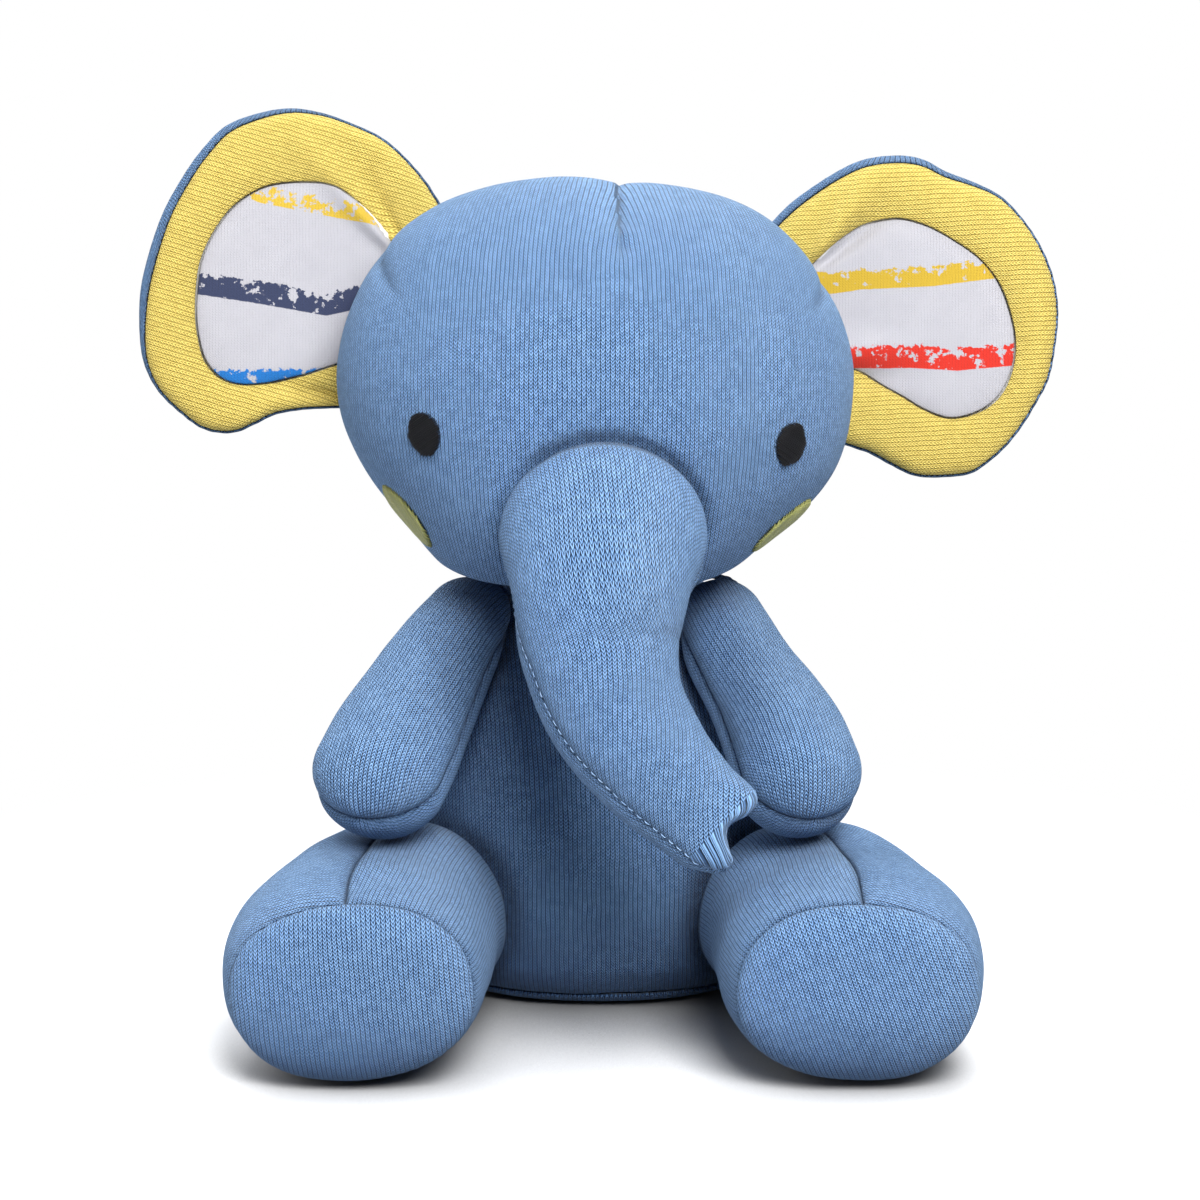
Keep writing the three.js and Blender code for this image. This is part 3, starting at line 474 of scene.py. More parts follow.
# ------------------------------------------------------------------ materials
class Net:
    def __init__(self, name):
        self.mat = bpy.data.materials.new(name)
        self.mat.use_nodes = True
        self.nt = self.mat.node_tree
        self.nt.nodes.clear()

    def new(self, kind, **props):
        n = self.nt.nodes.new(kind)
        for k, v in props.items():
            setattr(n, k, v)
        return n

    def wire(self, sock, v):
        if v is None:
            return
        if isinstance(v, bpy.types.NodeSocket):
            self.nt.links.new(v, sock)
        else:
            sock.default_value = v

    def m(self, op, a, b=None, c=None, clamp=False):
        n = self.new("ShaderNodeMath", operation=op, use_clamp=clamp)
        for s, v in zip(n.inputs, (a, b, c)):
            self.wire(s, v)
        return n.outputs[0]

    def vm(self, op, a, b=None, scale=None):
        n = self.new("ShaderNodeVectorMath", operation=op)
        self.wire(n.inputs[0], a)
        self.wire(n.inputs[1], b)
        if scale is not None:
            self.wire(n.inputs["Scale"], scale)
        return n.outputs["Value"] if op in ("LENGTH", "DISTANCE", "DOT_PRODUCT") else n.outputs[0]

    def attr(self, name):
        return self.new("ShaderNodeAttribute", attribute_name=name)

    def xyz(self, v):
        n = self.new("ShaderNodeSeparateXYZ")
        self.wire(n.inputs[0], v)
        return n.outputs

    def join(self, x, y, z=0.0):
        n = self.new("ShaderNodeCombineXYZ")
        for s, v in zip(n.inputs, (x, y, z)):
            self.wire(s, v)
        return n.outputs[0]

    def noise(self, vec, scale, detail=2.0, rough=0.5, w=None):
        n = self.new("ShaderNodeTexNoise")
        self.wire(n.inputs["Vector"], vec)
        n.inputs["Scale"].default_value = scale
        n.inputs["Detail"].default_value = detail
        n.inputs["Roughness"].default_value = rough
        return n.outputs["Fac"]

    def white(self, vec):
        n = self.new("ShaderNodeTexWhiteNoise", noise_dimensions="3D")
        self.wire(n.inputs["Vector"], vec)
        return n.outputs["Value"]

    def range(self, v, a, b, c, d, mode="LINEAR"):
        n = self.new("ShaderNodeMapRange", interpolation_type=mode)
        for s, x in zip(n.inputs[:5], (v, a, b, c, d)):
            self.wire(s, x)
        return n.outputs[0]

    def mix(self, f, a, b, blend="MIX"):
        n = self.new("ShaderNodeMix", data_type="RGBA", blend_type=blend)
        self.wire(n.inputs[0], f)
        self.wire(n.inputs[6], a)
        self.wire(n.inputs[7], b)
        return n.outputs[2]

    def mul(self, color, f):
        """colour times a value"""
        return self.vm("SCALE", color, scale=f)

    def finish(self, color, height, dist, rough=0.85, sheen=0.4, tint=(0.8, 0.87, 1, 1), strength=1.0, spec=0.25, sheen_rough=0.45):
        b = self.new("ShaderNodeBsdfPrincipled")
        self.wire(b.inputs["Base Color"], color)
        self.wire(b.inputs["Roughness"], rough)
        b.inputs["Specular IOR Level"].default_value = spec
        b.inputs["Sheen Weight"].default_value = sheen
        b.inputs["Sheen Roughness"].default_value = sheen_rough
        b.inputs["Sheen Tint"].default_value = tint
        if height is not None:
            k = self.new("ShaderNodeBump")
            k.inputs["Strength"].default_value = strength
            k.inputs["Distance"].default_value = dist * 0.001
            self.wire(k.inputs["Height"], height)
            self.nt.links.new(k.outputs[0], b.inputs["Normal"])
        out = self.new("ShaderNodeOutputMaterial")
        self.nt.links.new(b.outputs[0], out.inputs[0])
        return self.mat


def srgb(r, g, b):
    f = lambda c: c / 12.92 if c <= 0.04045 else ((c + 0.055) / 1.055) ** 2.4
    return tuple(f(x / 255) for x in (r, g, b)) + (1.0,)


def stitch_net(N, K, wale, course, slant=1.0):
    """height 0..1 of a stocking stitch knit, from cloth coordinates in mm, and each stitch's cell"""
    o = N.xyz(K)
    wobx = N.m("MULTIPLY", N.m("SUBTRACT", N.noise(K, 0.21, 1.0), 0.5), 0.5)
    woby = N.m("MULTIPLY", N.m("SUBTRACT", N.noise(N.vm("ADD", K, (31.0, 7.0, 3.0)), 0.17, 1.0), 0.5), 0.9)
    x = N.m("DIVIDE", N.m("ADD", o[0], wobx), wale)
    y = N.m("DIVIDE", N.m("ADD", o[1], woby), course)
    col = N.m("FLOOR", x)
    a = N.m("ABSOLUTE", N.m("SUBTRACT", N.m("SUBTRACT", x, col), 0.5))
    a = N.m("MULTIPLY", a, 2.0)
    jit = N.white(N.join(col, 0.0, 4.0))
    ph = N.m("SUBTRACT", N.m("ADD", y, N.m("MULTIPLY", jit, 0.25)), N.m("MULTIPLY", a, slant))
    row = N.m("FLOOR", ph)
    ridge = N.m("ADD", N.m("MULTIPLY", N.m("COSINE", N.m("MULTIPLY", N.m("SUBTRACT", ph, row), 2 * math.pi)), -0.5), 0.5)
    leg = N.m("SUBTRACT", N.m("MULTIPLY", a, 2.0), 1.0)
    prof = N.m("SUBTRACT", 1.0, N.m("MULTIPLY", N.m("POWER", N.m("ABSOLUTE", leg), 1.7), N.range(a, 0.35, 0.65, 0.40, 1.0)))
    cell = N.join(col, row, o[2])
    return prof, ridge, cell, a


def knit(name, light, dark, wale=1.08, course=0.80, heather=0.10, sheen=0.4, tint=(0.8, 0.87, 1, 1), bump=0.26, fuzz_and_edge_sheen=0.10, gap=0.55, spec=0.2, top=1.3, nook=None):
    N = Net(name)
    K = N.attr("knit").outputs["Vector"]
    crease_shade = N.attr("crease_shade").outputs["Fac"]
    prof, ridge, cell, a = stitch_net(N, K, wale, course)
    body_h = N.m("POWER", N.m("MAXIMUM", prof, 0.0), 0.8)
    height = N.m("MULTIPLY", body_h, N.m("ADD", N.m("MULTIPLY", ridge, 0.66), 0.34))
    fib = N.noise(N.vm("MULTIPLY", K, (7.0, 3.0, 1.0)), 1.0, 3.0, 0.65)
    height2 = N.m("ADD", height, N.m("MULTIPLY", fib, fuzz_and_edge_sheen * 2.2))
    # colour: dyed yarn a little uneven, stitch by stitch, in streaks along a course and in soft patches
    rnd = N.white(cell)
    streak = N.noise(N.vm("MULTIPLY", K, (0.12, 1.1, 1.0)), 1.0, 2.0)
    patch = N.noise(K, 0.16, 3.0, 0.55)
    grain = N.noise(K, 1.6, 2.0, 0.6)
    v = N.m("ADD", N.m("MULTIPLY", N.m("SUBTRACT", rnd, 0.5), heather * 1.5), N.m("MULTIPLY", N.m("SUBTRACT", streak, 0.5), heather * 1.2))
    v = N.m("ADD", v, N.m("MULTIPLY", N.m("SUBTRACT", patch, 0.5), heather * 0.9))
    v = N.m("ADD", v, N.m("MULTIPLY", N.m("SUBTRACT", grain, 0.5), heather * 1.1))
    v = N.m("ADD", v, N.m("MULTIPLY", N.m("SUBTRACT", fib, 0.5), heather * 2.2))
    tone = N.m("ADD", v, 0.5, clamp=True)
    base = N.mix(tone, dark, light)
    # painted shade and light: the colour darkens down into the gaps between the stitches and brightens on their tops,
    # standing in for the shadows the bump does not cast
    stitch_shade = N.range(N.m("ADD", height, N.m("MULTIPLY", N.m("SUBTRACT", rnd, 0.5), 0.12)), 0.13, 0.85, gap, top, "SMOOTHSTEP")
    # the seam's shade is broken up by its stitches
    tug = N.range(N.noise(N.vm("ADD", K, (5.0, 9.0, 2.0)), 0.85, 2.0), 0.3, 0.7, 0.55, 1.15)
    shade = N.m("MULTIPLY", stitch_shade, N.m("SUBTRACT", 1.0, N.m("MULTIPLY", N.m("MULTIPLY", crease_shade, tug), 0.72)))
    # shade between the ribs is a deeper blue, not a greyer one
    sink = tuple((c / max(light[:3])) ** 0.8 for c in light[:3]) + (1.0,)
    color = N.mul(base, shade)
    color = N.mix(N.range(shade, 0.2, 1.0, 0.75, 0.0), color, N.vm("MULTIPLY", color, sink[:3]))
    if nook:
        # little light reaches the cloth where two stuffed parts meet, and what does comes off more blue cloth
        ao = N.new("ShaderNodeAmbientOcclusion")
        ao.samples = 4
        ao.inputs["Distance"].default_value = 0.045
        color = N.mix(N.range(ao.outputs["AO"], 0.10, 0.64, 0.0, 1.0), N.vm("MULTIPLY", color, nook), color)
    # painted sheen: the colour is paled where the cloth turns away from view, standing in for loose fibre catching the
    # light
    lw = N.new("ShaderNodeLayerWeight")
    lw.inputs["Blend"].default_value = 0.35
    edge = N.m("MULTIPLY", N.m("POWER", lw.outputs["Facing"], 2.0), fuzz_and_edge_sheen * 2.2)
    painted_sheen_color = tuple(min(1.0, c * 1.35 + 0.03) for c in light[:3]) + (1.0,)
    color = N.mix(edge, color, painted_sheen_color)
    rough = N.range(fib, 0.2, 0.8, 0.78, 0.95)
    return N.finish(color, height2, bump, rough=rough, sheen=sheen, tint=tint, spec=spec)


BLUE = knit("blue_knit", srgb(134, 168, 206), srgb(88, 128, 178), heather=0.20, gap=0.04, top=1.78, bump=0.5, sheen=0.22, tint=(0.72, 0.85, 1, 1), spec=0.08, fuzz_and_edge_sheen=0.14, nook=(0.16, 0.24, 0.36))
# the same blue knit a little darker, for the backs of the ears
BLUE_BACK = knit("blue_knit_darker", srgb(126, 159, 197), srgb(82, 121, 170), heather=0.20, gap=0.04, top=1.78, bump=0.5, sheen=0.22, tint=(0.72, 0.85, 1, 1), spec=0.08, fuzz_and_edge_sheen=0.14, nook=(0.16, 0.24, 0.36))
YELLOW = knit("yellow_knit", srgb(248, 226, 130), srgb(226, 199, 102), wale=1.12, course=0.82, heather=0.12, tint=(1, 0.95, 0.8, 1), sheen=0.1, gap=0.48, top=1.14, fuzz_and_edge_sheen=0.05, bump=0.4, spec=0.08)
TAPE = knit("seam_tape", srgb(92, 128, 172), srgb(50, 82, 130), heather=0.14, gap=0.3, sheen=0.15)


def print_mat(name, stripes):
    """white interlock with broken printed stripes; the attribute stripes holds each stripe's offset in half widths"""
    N = Net(name)
    K = N.attr("knit").outputs["Vector"]
    crease_shade = N.attr("crease_shade").outputs["Fac"]
    S = N.xyz(N.attr("stripes").outputs["Vector"])
    prof, ridge, cell, a = stitch_net(N, K, 0.74, 0.62, slant=0.8)
    height = N.m("MULTIPLY", N.m("POWER", prof, 0.6), N.m("ADD", N.m("MULTIPLY", ridge, 0.5), 0.5))
    fib = N.noise(K, 5.0, 2.0, 0.6)
    patch = N.noise(K, 0.2, 2.0)
    base = N.mix(N.m("ADD", N.m("MULTIPLY", fib, 0.5), N.m("MULTIPLY", patch, 0.5)), srgb(170, 168, 175), srgb(188, 187, 192))
    color = base
    for i, (col, chip, seed) in enumerate(stripes):
        Ks = N.vm("ADD", K, (seed * 13.7, seed * 5.1, 0.0))
        ragged = N.m("MULTIPLY", N.m("SUBTRACT", N.noise(Ks, 0.75, 3.0, 0.62), 0.5), N.range(S[i], -0.2, 0.4, 0.12, 1.25))
        d = N.m("ADD", N.m("ABSOLUTE", S[i]), ragged)
        inside = N.range(d, 0.93, 1.0, 1.0, 0.0)
        # the print is worn away in chips, more of them near the stripe's edges
        n1 = N.noise(Ks, 0.42, 5.0, 0.66)
        edge = N.m("MULTIPLY", N.range(S[i], -0.6, 1.0, 0.0, 1.0), 0.10)
        worn = N.range(N.m("ADD", n1, edge), 0.66 - chip, 0.675 - chip, 0.0, 1.0)
        grain = N.range(N.m("ADD", N.m("MULTIPLY", fib, 0.5), N.m("MULTIPLY", height, 0.5)), 0.12, 0.3, 0.25, 1.0)
        f = N.m("MULTIPLY", N.m("MULTIPLY", inside, N.m("SUBTRACT", 1.0, worn)), N.m("ADD", N.m("MULTIPLY", grain, 0.25), 0.75))
        color = N.mix(f, color, col)
    # painted shade: darker in the gaps between the stitches and in the seams' creases
    stitch_shade = N.range(height, 0.0, 0.7, 0.86, 1.03, "SMOOTHSTEP")
    color = N.mul(color, N.m("MULTIPLY", stitch_shade, N.m("SUBTRACT", 1.0, N.m("MULTIPLY", crease_shade, 0.35))))
    return N.finish(color, N.m("ADD", height, N.m("MULTIPLY", fib, 0.3)), 0.12, rough=0.85, sheen=0.2, tint=(1, 1, 1, 1), spec=0.2)


def thread_mat(name, light, dark, rough=0.5, sheen=0.2, spec=0.45, freq=9.0):
    """twisted embroidery thread: fine slanted plies along each strand"""
    N = Net(name)
    K = N.attr("knit").outputs["Vector"]
    o = N.xyz(K)
    ply = N.m("SINE", N.m("ADD", N.m("MULTIPLY", o[1], freq), N.m("MULTIPLY", o[0], 5.0)))
    fib = N.noise(N.vm("MULTIPLY", K, (6.0, 1.2, 1.0)), 1.0, 2.0, 0.6)
    rnd = N.white(N.join(N.m("FLOOR", o[2]), 0.0, 1.0))
    tone = N.m("ADD", N.m("MULTIPLY", fib, 0.6), N.m("MULTIPLY", rnd, 0.4), clamp=True)
    tone = N.m("MULTIPLY", tone, N.m("ADD", N.m("MULTIPLY", ply, 0.12), 0.88))
    color = N.mix(tone, dark, light)
    return N.finish(color, N.m("ADD", N.m("MULTIPLY", ply, 0.5), fib), 0.06, rough=rough, sheen=sheen, tint=(1, 1, 1, 1), spec=spec)


def fill_mat():
    N = Net("filling")
    P = N.new("ShaderNodeTexCoord").outputs["Object"]
    n1 = N.noise(P, 420.0, 5.0, 0.7)
    n2 = N.noise(P, 120.0, 3.0, 0.6)
    t = N.m("ADD", N.m("MULTIPLY", n1, 0.6), N.m("MULTIPLY", n2, 0.4))
    return N.finish(N.mix(t, srgb(206, 204, 198), srgb(250, 249, 245)), t, 0.8, rough=0.95, sheen=0.5, tint=(1, 1, 1, 1), spec=0.1)


BLACK = thread_mat("black_thread", srgb(34, 34, 38), srgb(8, 8, 10), rough=0.5, spec=0.25, sheen=0.0)
CHEEK = thread_mat("cheek_thread", srgb(204, 202, 120), srgb(112, 118, 58), rough=0.45, freq=7.0)
SEWN = thread_mat("seam_thread", srgb(176, 206, 238), srgb(118, 158, 206), rough=0.6)
FILL = fill_mat()

# ------------------------------------------------------------------ cloth panels
PANELS = []


def panel(name, P, ref, body_name, nodes, knitxy, seams=(), wrap=False, mat=None, thick=0.9, extra=None, attrs=None, seed=0, lump=0.5, after=None, knit_seed=0.0, dip=None, dark=1.0, sim=None):
    """one sewn panel from a grid of points: seams sink it at its edges and get painted shade in their creases,
    stuffing lumps lift it, then it gets its thickness
    """
    N, _ = grid_normals(P, wrap, ref)
    if wrap:
        # a panel that closes on one point has one direction there
        for e, m in ((0, 1), (-1, -2)):
            if np.ptp(P[e], axis=0).max() < 0.05:
                N[e] = N[m].mean(0) / np.linalg.norm(N[m].mean(0))
    ci, cj = cumlen(P, 0), cumlen(P, 1)
    d = np.full(P.shape[:2], 1e3)
    t = np.zeros(P.shape[:2])
    for sname in seams:
        if sname == "i0":
            ds, ts = ci, np.broadcast_to(cj[:1], ci.shape)
        elif sname == "i1":
            ds, ts = ci[-1:] - ci, np.broadcast_to(cj[-1:], ci.shape)
        elif sname == "j0":
            ds, ts = cj, np.broadcast_to(ci[:, :1], cj.shape)
        else:
            ds, ts = cj[:, -1:] - cj, np.broadcast_to(ci[:, -1:], cj.shape)
        m = ds < d
        d, t = np.where(m, ds, d), np.where(m, ts, t)
    h = lumps(P, lump, seed)
    if sim is not None:
        h = h + sim
    crease_shade = np.zeros(P.shape[:2])
    if seams:
        h = h + seam_dip(d, t, seed=seed + 1, **(dip or {}))
        # painted shade: the cloth's colour darkens into the crease along each seam
        crease_shade = np.exp(-d / 0.75) * dark
    if extra is not None:
        e, c = extra(P, N)
        h = h + e
        crease_shade = np.maximum(crease_shade, c)
    Q = P + N * h[..., None]
    if after is not None:
        Q = after(Q)
    K = np.concatenate([knitxy, np.full(P.shape[:2] + (1,), float(knit_seed))], -1)
    if wrap:
        for e in (0, -1):
            if np.ptp(P[e], axis=0).max() < 0.05:
                Q[e], K[e], crease_shade[e] = Q[e].mean(0), K[e].mean(0), crease_shade[e].mean()
    at = {"knit": K, "crease_shade": crease_shade}
    at.update(attrs or {})
    ob = shell(name, Q, ref, thick, wrap, at)
    place(ob, body_name, mat or BLUE, nodes)
    PANELS.append(name)
    return ob, Q, N


def tube_knit(P, centre):
    """cloth coordinates: x round the tube from the panel's middle, y along it"""
    cj = cumlen(P, 1)
    x = cj - cj[:, centre:centre + 1]
    y = cumlen(P[:, centre:centre + 1], 0)
    return np.stack([x, np.broadcast_to(y, x.shape)], -1)


def ditch_by(points_level, width=1.4, depth=1.2):
    """cloth sinks where another part is sewn on, and its colour gets painted shade in that crease: level is the
    distance outside that part
    """
    l = np.maximum(points_level, 0)
    return -depth * np.exp(-((l / width) ** 1.3)), np.exp(-l / (width * 0.8))


def ball_level(P, centre, r):
    return np.linalg.norm(P - centre, axis=-1) - r


def tube_level(P, spec):
    """about how far points are outside a tube, by its nearest centre line point"""
    C, A, B, U, W = (spec[k][::10] for k in "CABUW")
    out = np.full(P.shape[:-1], 1e9)
    flat = P.reshape(-1, 3)
    res = np.empty(len(flat))
    for k in range(0, len(flat), 20000):
        q = flat[k:k + 20000, None, :] - C[None]
        du, dw = np.einsum("nmi,mi->nm", q, U), np.einsum("nmi,mi->nm", q, W)
        dist = np.linalg.norm(q, axis=-1)
        dist = dist - (A[None] * np.abs(du) + B[None] * np.abs(dw)) / np.maximum(np.abs(du) + np.abs(dw), 1e-6)
        res[k:k + 20000] = dist.min(1)
    return np.minimum(res.reshape(P.shape[:-1]), ball_level(P, spec["pivot"], spec["root"]))


def body_level(P):
    """about how far points are outside the torso"""
    z = np.clip(P[..., 2] - BODY_Z, 0, 98)
    row = np.interp(z, BODY_T[:, 0], np.arange(len(BODY_T)))
    K = np.stack([np.interp(row, np.arange(len(BODY_T)), BODY_T[:, c]) for c in range(5)], -1)
    x, y = P[..., 0] - BODY_X - K[..., 1], P[..., 1] - BODY_Y
    dep = np.where(y < 0, K[..., 3], K[..., 4])
    f = ((np.abs(x) / K[..., 2]) ** 2.2 + (np.abs(y) / dep) ** 2.2) ** (1 / 2.2)
    return (f - 1) / np.maximum(f, 1e-6) * np.hypot(x, y) + np.maximum(P[..., 2] - BODY_Z - 98, 0)


# ---- head
def head_extra(P, N):
    u, v, w = head_uvw(P)
    h = np.zeros(P.shape[:2])
    crease_shade = np.zeros(P.shape[:2])
    # crown dart: the cloth sinks along it, and painted shade darkens its crease
    uu = np.full(12, 5.7)
    ww = np.linspace(11, -41.7, 12)
    rad = (1 - (np.abs(ww) / np.where(ww < 0, 50, 47)) ** 2.3) ** (1 / 2.3)
    line = head_point(uu, np.sqrt(np.maximum((rad * outline(np.full(12, 1.46))) ** 2 - 5.7 ** 2, 0)), ww)
    d, run, L = seg_dist(P, line)
    fade = 1 - 0.75 * smooth(L - 14, L, run)
    h += -1.0 * np.exp(-d / 0.7) * fade - 0.75 * np.exp(-((d / 5.0) ** 2)) * fade
    tip = np.linalg.norm(P - line[-1], axis=-1)
    h += -0.8 * np.exp(-((tip / 2.2) ** 2)) + 0.30 * np.exp(-(((tip - 4.2) / 2.2) ** 2))
    crease_shade = np.maximum(crease_shade, np.exp(-d / 0.55) * (1 - 0.6 * smooth(L - 8, L, run)))
    # small darts beside the ears, each with painted shade in its crease
    for pts in ([(-52.5, 36.0), (-50.8, 30.0), (-48.6, 24.5), (-44.9, 19.6)], [(52.5, 27.5), (53.6, 23.5), (52.6, 20.0), (49.6, 17.4)]):
        uv = np.array(pts)
        line = on_head(uv[:, 0], uv[:, 1])
        d, run, L = seg_dist(P, line)
        fade = 1 - smooth(L * 0.55, L, run) * 0.7
        h += -1.25 * np.exp(-((d / 1.0) ** 1.4)) * fade - 0.8 * np.exp(-((d / 3.6) ** 2)) * fade
        crease_shade = np.maximum(crease_shade, 0.8 * np.exp(-((d / 0.8) ** 1.4)) * fade)
    # where the trunk is sewn on, with painted shade in the crease
    e, c = ditch_by(tube_level(P, TUBES["trunk"]) - 0.6, 1.3, 1.3)
    left = smooth(-12, -19, u) * smooth(-4, -12, v)
    h += e * (1 - 0.6 * left)
    crease_shade = np.maximum(crease_shade, c * (1 - 0.7 * left) * 0.8)
    return h, crease_shade


def head_knit(P, theta, alpha, side):
    R = np.linalg.norm(P - HEADC, axis=-1)
    f = 2 * np.sin(alpha / 2) * R
    x, y = f * np.cos(theta), f * np.sin(theta)
    if side > 0:
        # the dart takes cloth out, so the ribs lean in towards it
        k = 5.5 * smooth(24, 62, y)
        x = x + np.where(x > 5.7, 1, -1) * k * np.exp(-np.abs(x - 5.7) / 14.0)
    return np.stack([x, y], -1)


def seam_alpha(theta):
    a, b = np.full_like(theta, math.pi / 2), np.full_like(theta, math.pi * 0.75)
    for _ in range(50):
        m = (a + b) / 2
        w = -head_r(theta, m) * np.cos(m)
        a, b = np.where(w < HEAD["seam"], m, a), np.where(w < HEAD["seam"], b, m)
    return (a + b) / 2


def build_head():
    n = 336
    theta = np.linspace(0, 2 * np.pi, n, endpoint=False)
    a_s = seam_alpha(theta)
    for side, name in ((1, "head_front_panel"), (-1, "head_back_panel")):
        L = 95 if side > 0 else 62
        k = spaced(L, 0.4, 1.05, (False, True))[:, None]
        if side > 0:
            A = k * a_s[None]
        else:
            A = np.pi - k * (np.pi - a_s[None])
        Th = np.broadcast_to(theta[None], A.shape)
        P = HEADC + head_dir(Th, A) * head_r(Th, A)[..., None]
        K = head_knit(P, Th, A if side > 0 else np.pi - A, side)
        panel(name + "_cloth", P, HEADC, "head", [name], K, seams=("i1",), wrap=True, extra=head_extra if side > 0 else None,
              after=chin_lift, seed=3, lump=0.6, knit_seed=side, dip=dict(a1=0.8, a2=0.9, w2=5, pucker=0.3))


# ---- trunk
def dashes(name, line, nrm, inward, body_name, span, pitch=2.3, length=1.5, off=0.75):
    """the running stitches that show beside a seam"""
    L = np.r_[0, np.cumsum(np.linalg.norm(np.diff(line, axis=0), axis=1))]
    nrm, inward = unit(nrm), unit(inward)
    rng = np.random.default_rng(17)
    paths = []
    for a in np.arange(L[-1] * span[0], L[-1] * span[1], pitch):
        t = a + np.linspace(0, length, 7) + rng.normal() * 0.12
        at = lambda M: np.stack([np.interp(t, L, M[:, k]) for k in range(3)], -1)
        sag = 0.16 - 0.22 * np.linspace(-1, 1, 7)[:, None] ** 4
        paths.append(at(line) + unit(at(inward)) * (off + rng.normal() * 0.05) + unit(at(nrm)) * (sag + 0.22))
    strands(name, paths, 0.13, SEWN, body_name, (), 5)




def build_trunk():
    spec = TUBES["trunk"]
    rows = tube_rows(spec, 0.10, 1.0, 0.9, 0.9, (False, False))
    x = np.clip((rows - 0.22) / 0.56, 0, 1) * spec["n"]
    b = np.interp(x, np.arange(spec["n"] + 1), spec["B"])
    ph = -np.arcsin(np.clip(3.25 / b, 0, 0.8))
    # on the near side the seam comes forward below the root, so it shows along the edge
    fwd = np.interp(rows, [0.22, 0.36, 0.48, 0.62, 0.78, 0.9], [0.0, 0.0, 0.42, 0.62, 0.55, 0.3])
    pl = np.pi - ph - (fwd - ph) * smooth(0, 0.4, fwd)

    def extra(P, N):
        e, c = ditch_by(head_level(P) - 0.4, 1.6, 1.0)
        u, v, w = head_uvw(P)
        left = smooth(-12, -19, u) * smooth(-4, -12, v)
        return e * (1 - 0.6 * left), c * (1 - 0.7 * left) * 0.8

    END_U = [-11.2, -9.7, -8, -6, -4.3, -2.5, -1.2, 0.3, 2, 3.5, 6, 8.5, 10, 11.2]
    END_T = [-1.0, 3.3, 5.9, 6.8, 6.6, 5.2, 2.6, 0.3, -0.8, -0.6, 0.9, 1.4, 0.8, -1.0]

    def tip(P):
        # the end is cut to two soft lobes, the lower one longer, with a dip between them
        last = spec["C"][-1]
        T, U, W = spec["T"][-1], spec["U"][-1], spec["W"][-1]
        q = P - last
        t, u, w = q @ T, q @ U, q @ W
        cap = smooth(-0.2, spec["cap"], t)
        want = np.interp(u, END_U, END_T) * np.sqrt(np.clip(1 - (w / 9.5) ** 2, 0, 1))
        near = smooth(-14, 0.5, t)
        lobe = 1.3 * np.exp(-(((u - 8.5) / 3.5) ** 2)) * smooth(-8, -2, t)
        return P + T * (cap * (want - 0.35 * t))[..., None] + U * (lobe * np.clip(u / 8, 0, 1))[..., None] - U * (0.0 * near)[..., None]

    Cr, Tr, Ur = (np.stack([np.interp(x, np.arange(spec["n"] + 1), spec[k][:, a]) for a in range(3)], -1) for k in "CTU")
    ds = np.r_[0, np.linalg.norm(np.diff(Cr, axis=0), axis=1)]
    tu = np.clip(Tr @ RIGHT, -0.9, 0.9)
    kc = np.cumsum(np.stack([tu, -np.sqrt(1 - tu ** 2)], -1) * ds[:, None], axis=0)
    lean = 0.34 * 12 * np.logaddexp(0, (kc[:, 1] + 26) / 12)
    for name, lo_, hi_, cen in (("trunk_front_panel", ph, pl, 0.5), ("trunk_under_panel", pl, 2 * np.pi + ph, 0.5)):
        width = 60 if "front" in name else 40
        q = spaced(width, 0.35, 0.9, (True, True))
        Phi = lo_[:, None] + (hi_ - lo_)[:, None] * q[None]
        P = tube(spec, rows[:, None], Phi)
        c = np.broadcast_to(spec["C"][np.minimum(x.astype(int), spec["n"])][:, None], P.shape)
        K = tube_knit(P, len(q) // 2)
        if "front" in name:
            arc = -K[..., 0]
            uu = unit(np.stack([np.sqrt(1 - tu ** 2), tu], -1))
            K = np.stack([kc[:, :1] + arc * uu[:, :1] + lean[:, None], kc[:, 1:] + arc * uu[:, 1:]], -1)
        ob, Q, Nq = panel(name + "_cloth", P, c, "trunk", [name], K, seams=("j0", "j1"), extra=extra, after=tip, seed=5, lump=0.45, knit_seed=5 + cen, dip=dict(a1=0.45, a2=0.35, w2=2.6, pucker=0.24, pitch=2.3))
        if "front" in name:
            dashes("trunk_seam_threads", Q[:, -1], Nq[:, -1], Q[:, -4] - Q[:, -1], "trunk", (0.30, 0.97))


# ---- arms
def limb_normal(spec, mid0, mid1, want):
    d = unit(spec["C"][int(mid1 * spec["n"])] - spec["C"][int(mid0 * spec["n"])])
    n = np.array(want, float)
    n = unit(n - n.dot(d) * d)
    m = int(0.55 * spec["n"])
    return math.atan2(n @ spec["W"][m], n @ spec["U"][m])


def build_arm(side):
    spec = TUBES[side + "_arm"]
    nx = -1 if side == "right" else 1
    f = limb_normal(spec, 0, 2 / 3, (nx * 0.38, -0.9, 0.15))
    rows = tube_rows(spec, 0.05, 1.0, 0.75, 0.75, (False, False))
    x = np.clip((rows - 0.22) / 0.56, 0, 1) * spec["n"]
    c0 = spec["C"][np.minimum(x.astype(int), spec["n"])][:, None]

    def extra(P, N):
        e, c = ditch_by(body_level(P) - 0.2, 1.6, 0.9)
        return e, c * 0.8

    for part, a, b in (("front", f - np.pi / 2, f + np.pi / 2), ("back", f + np.pi / 2, f + 3 * np.pi / 2)):
        q = spaced(52, 0.35, 0.85, (True, True))
        P = tube(spec, rows[:, None], (a + (b - a) * q)[None])
        K = tube_knit(P, len(q) // 2)
        panel(f"{side}_arm_{part}_panel_cloth", P, np.broadcast_to(c0, P.shape), side + "_arm", [f"{side}_arm_{part}_panel"], K, seams=("j0", "j1"),
              extra=extra, seed=11 + nx, lump=0.5, knit_seed=10 + nx + a, dip=dict(a1=0.7, a2=0.6, w2=3.5, pucker=0.24, pitch=2.9))


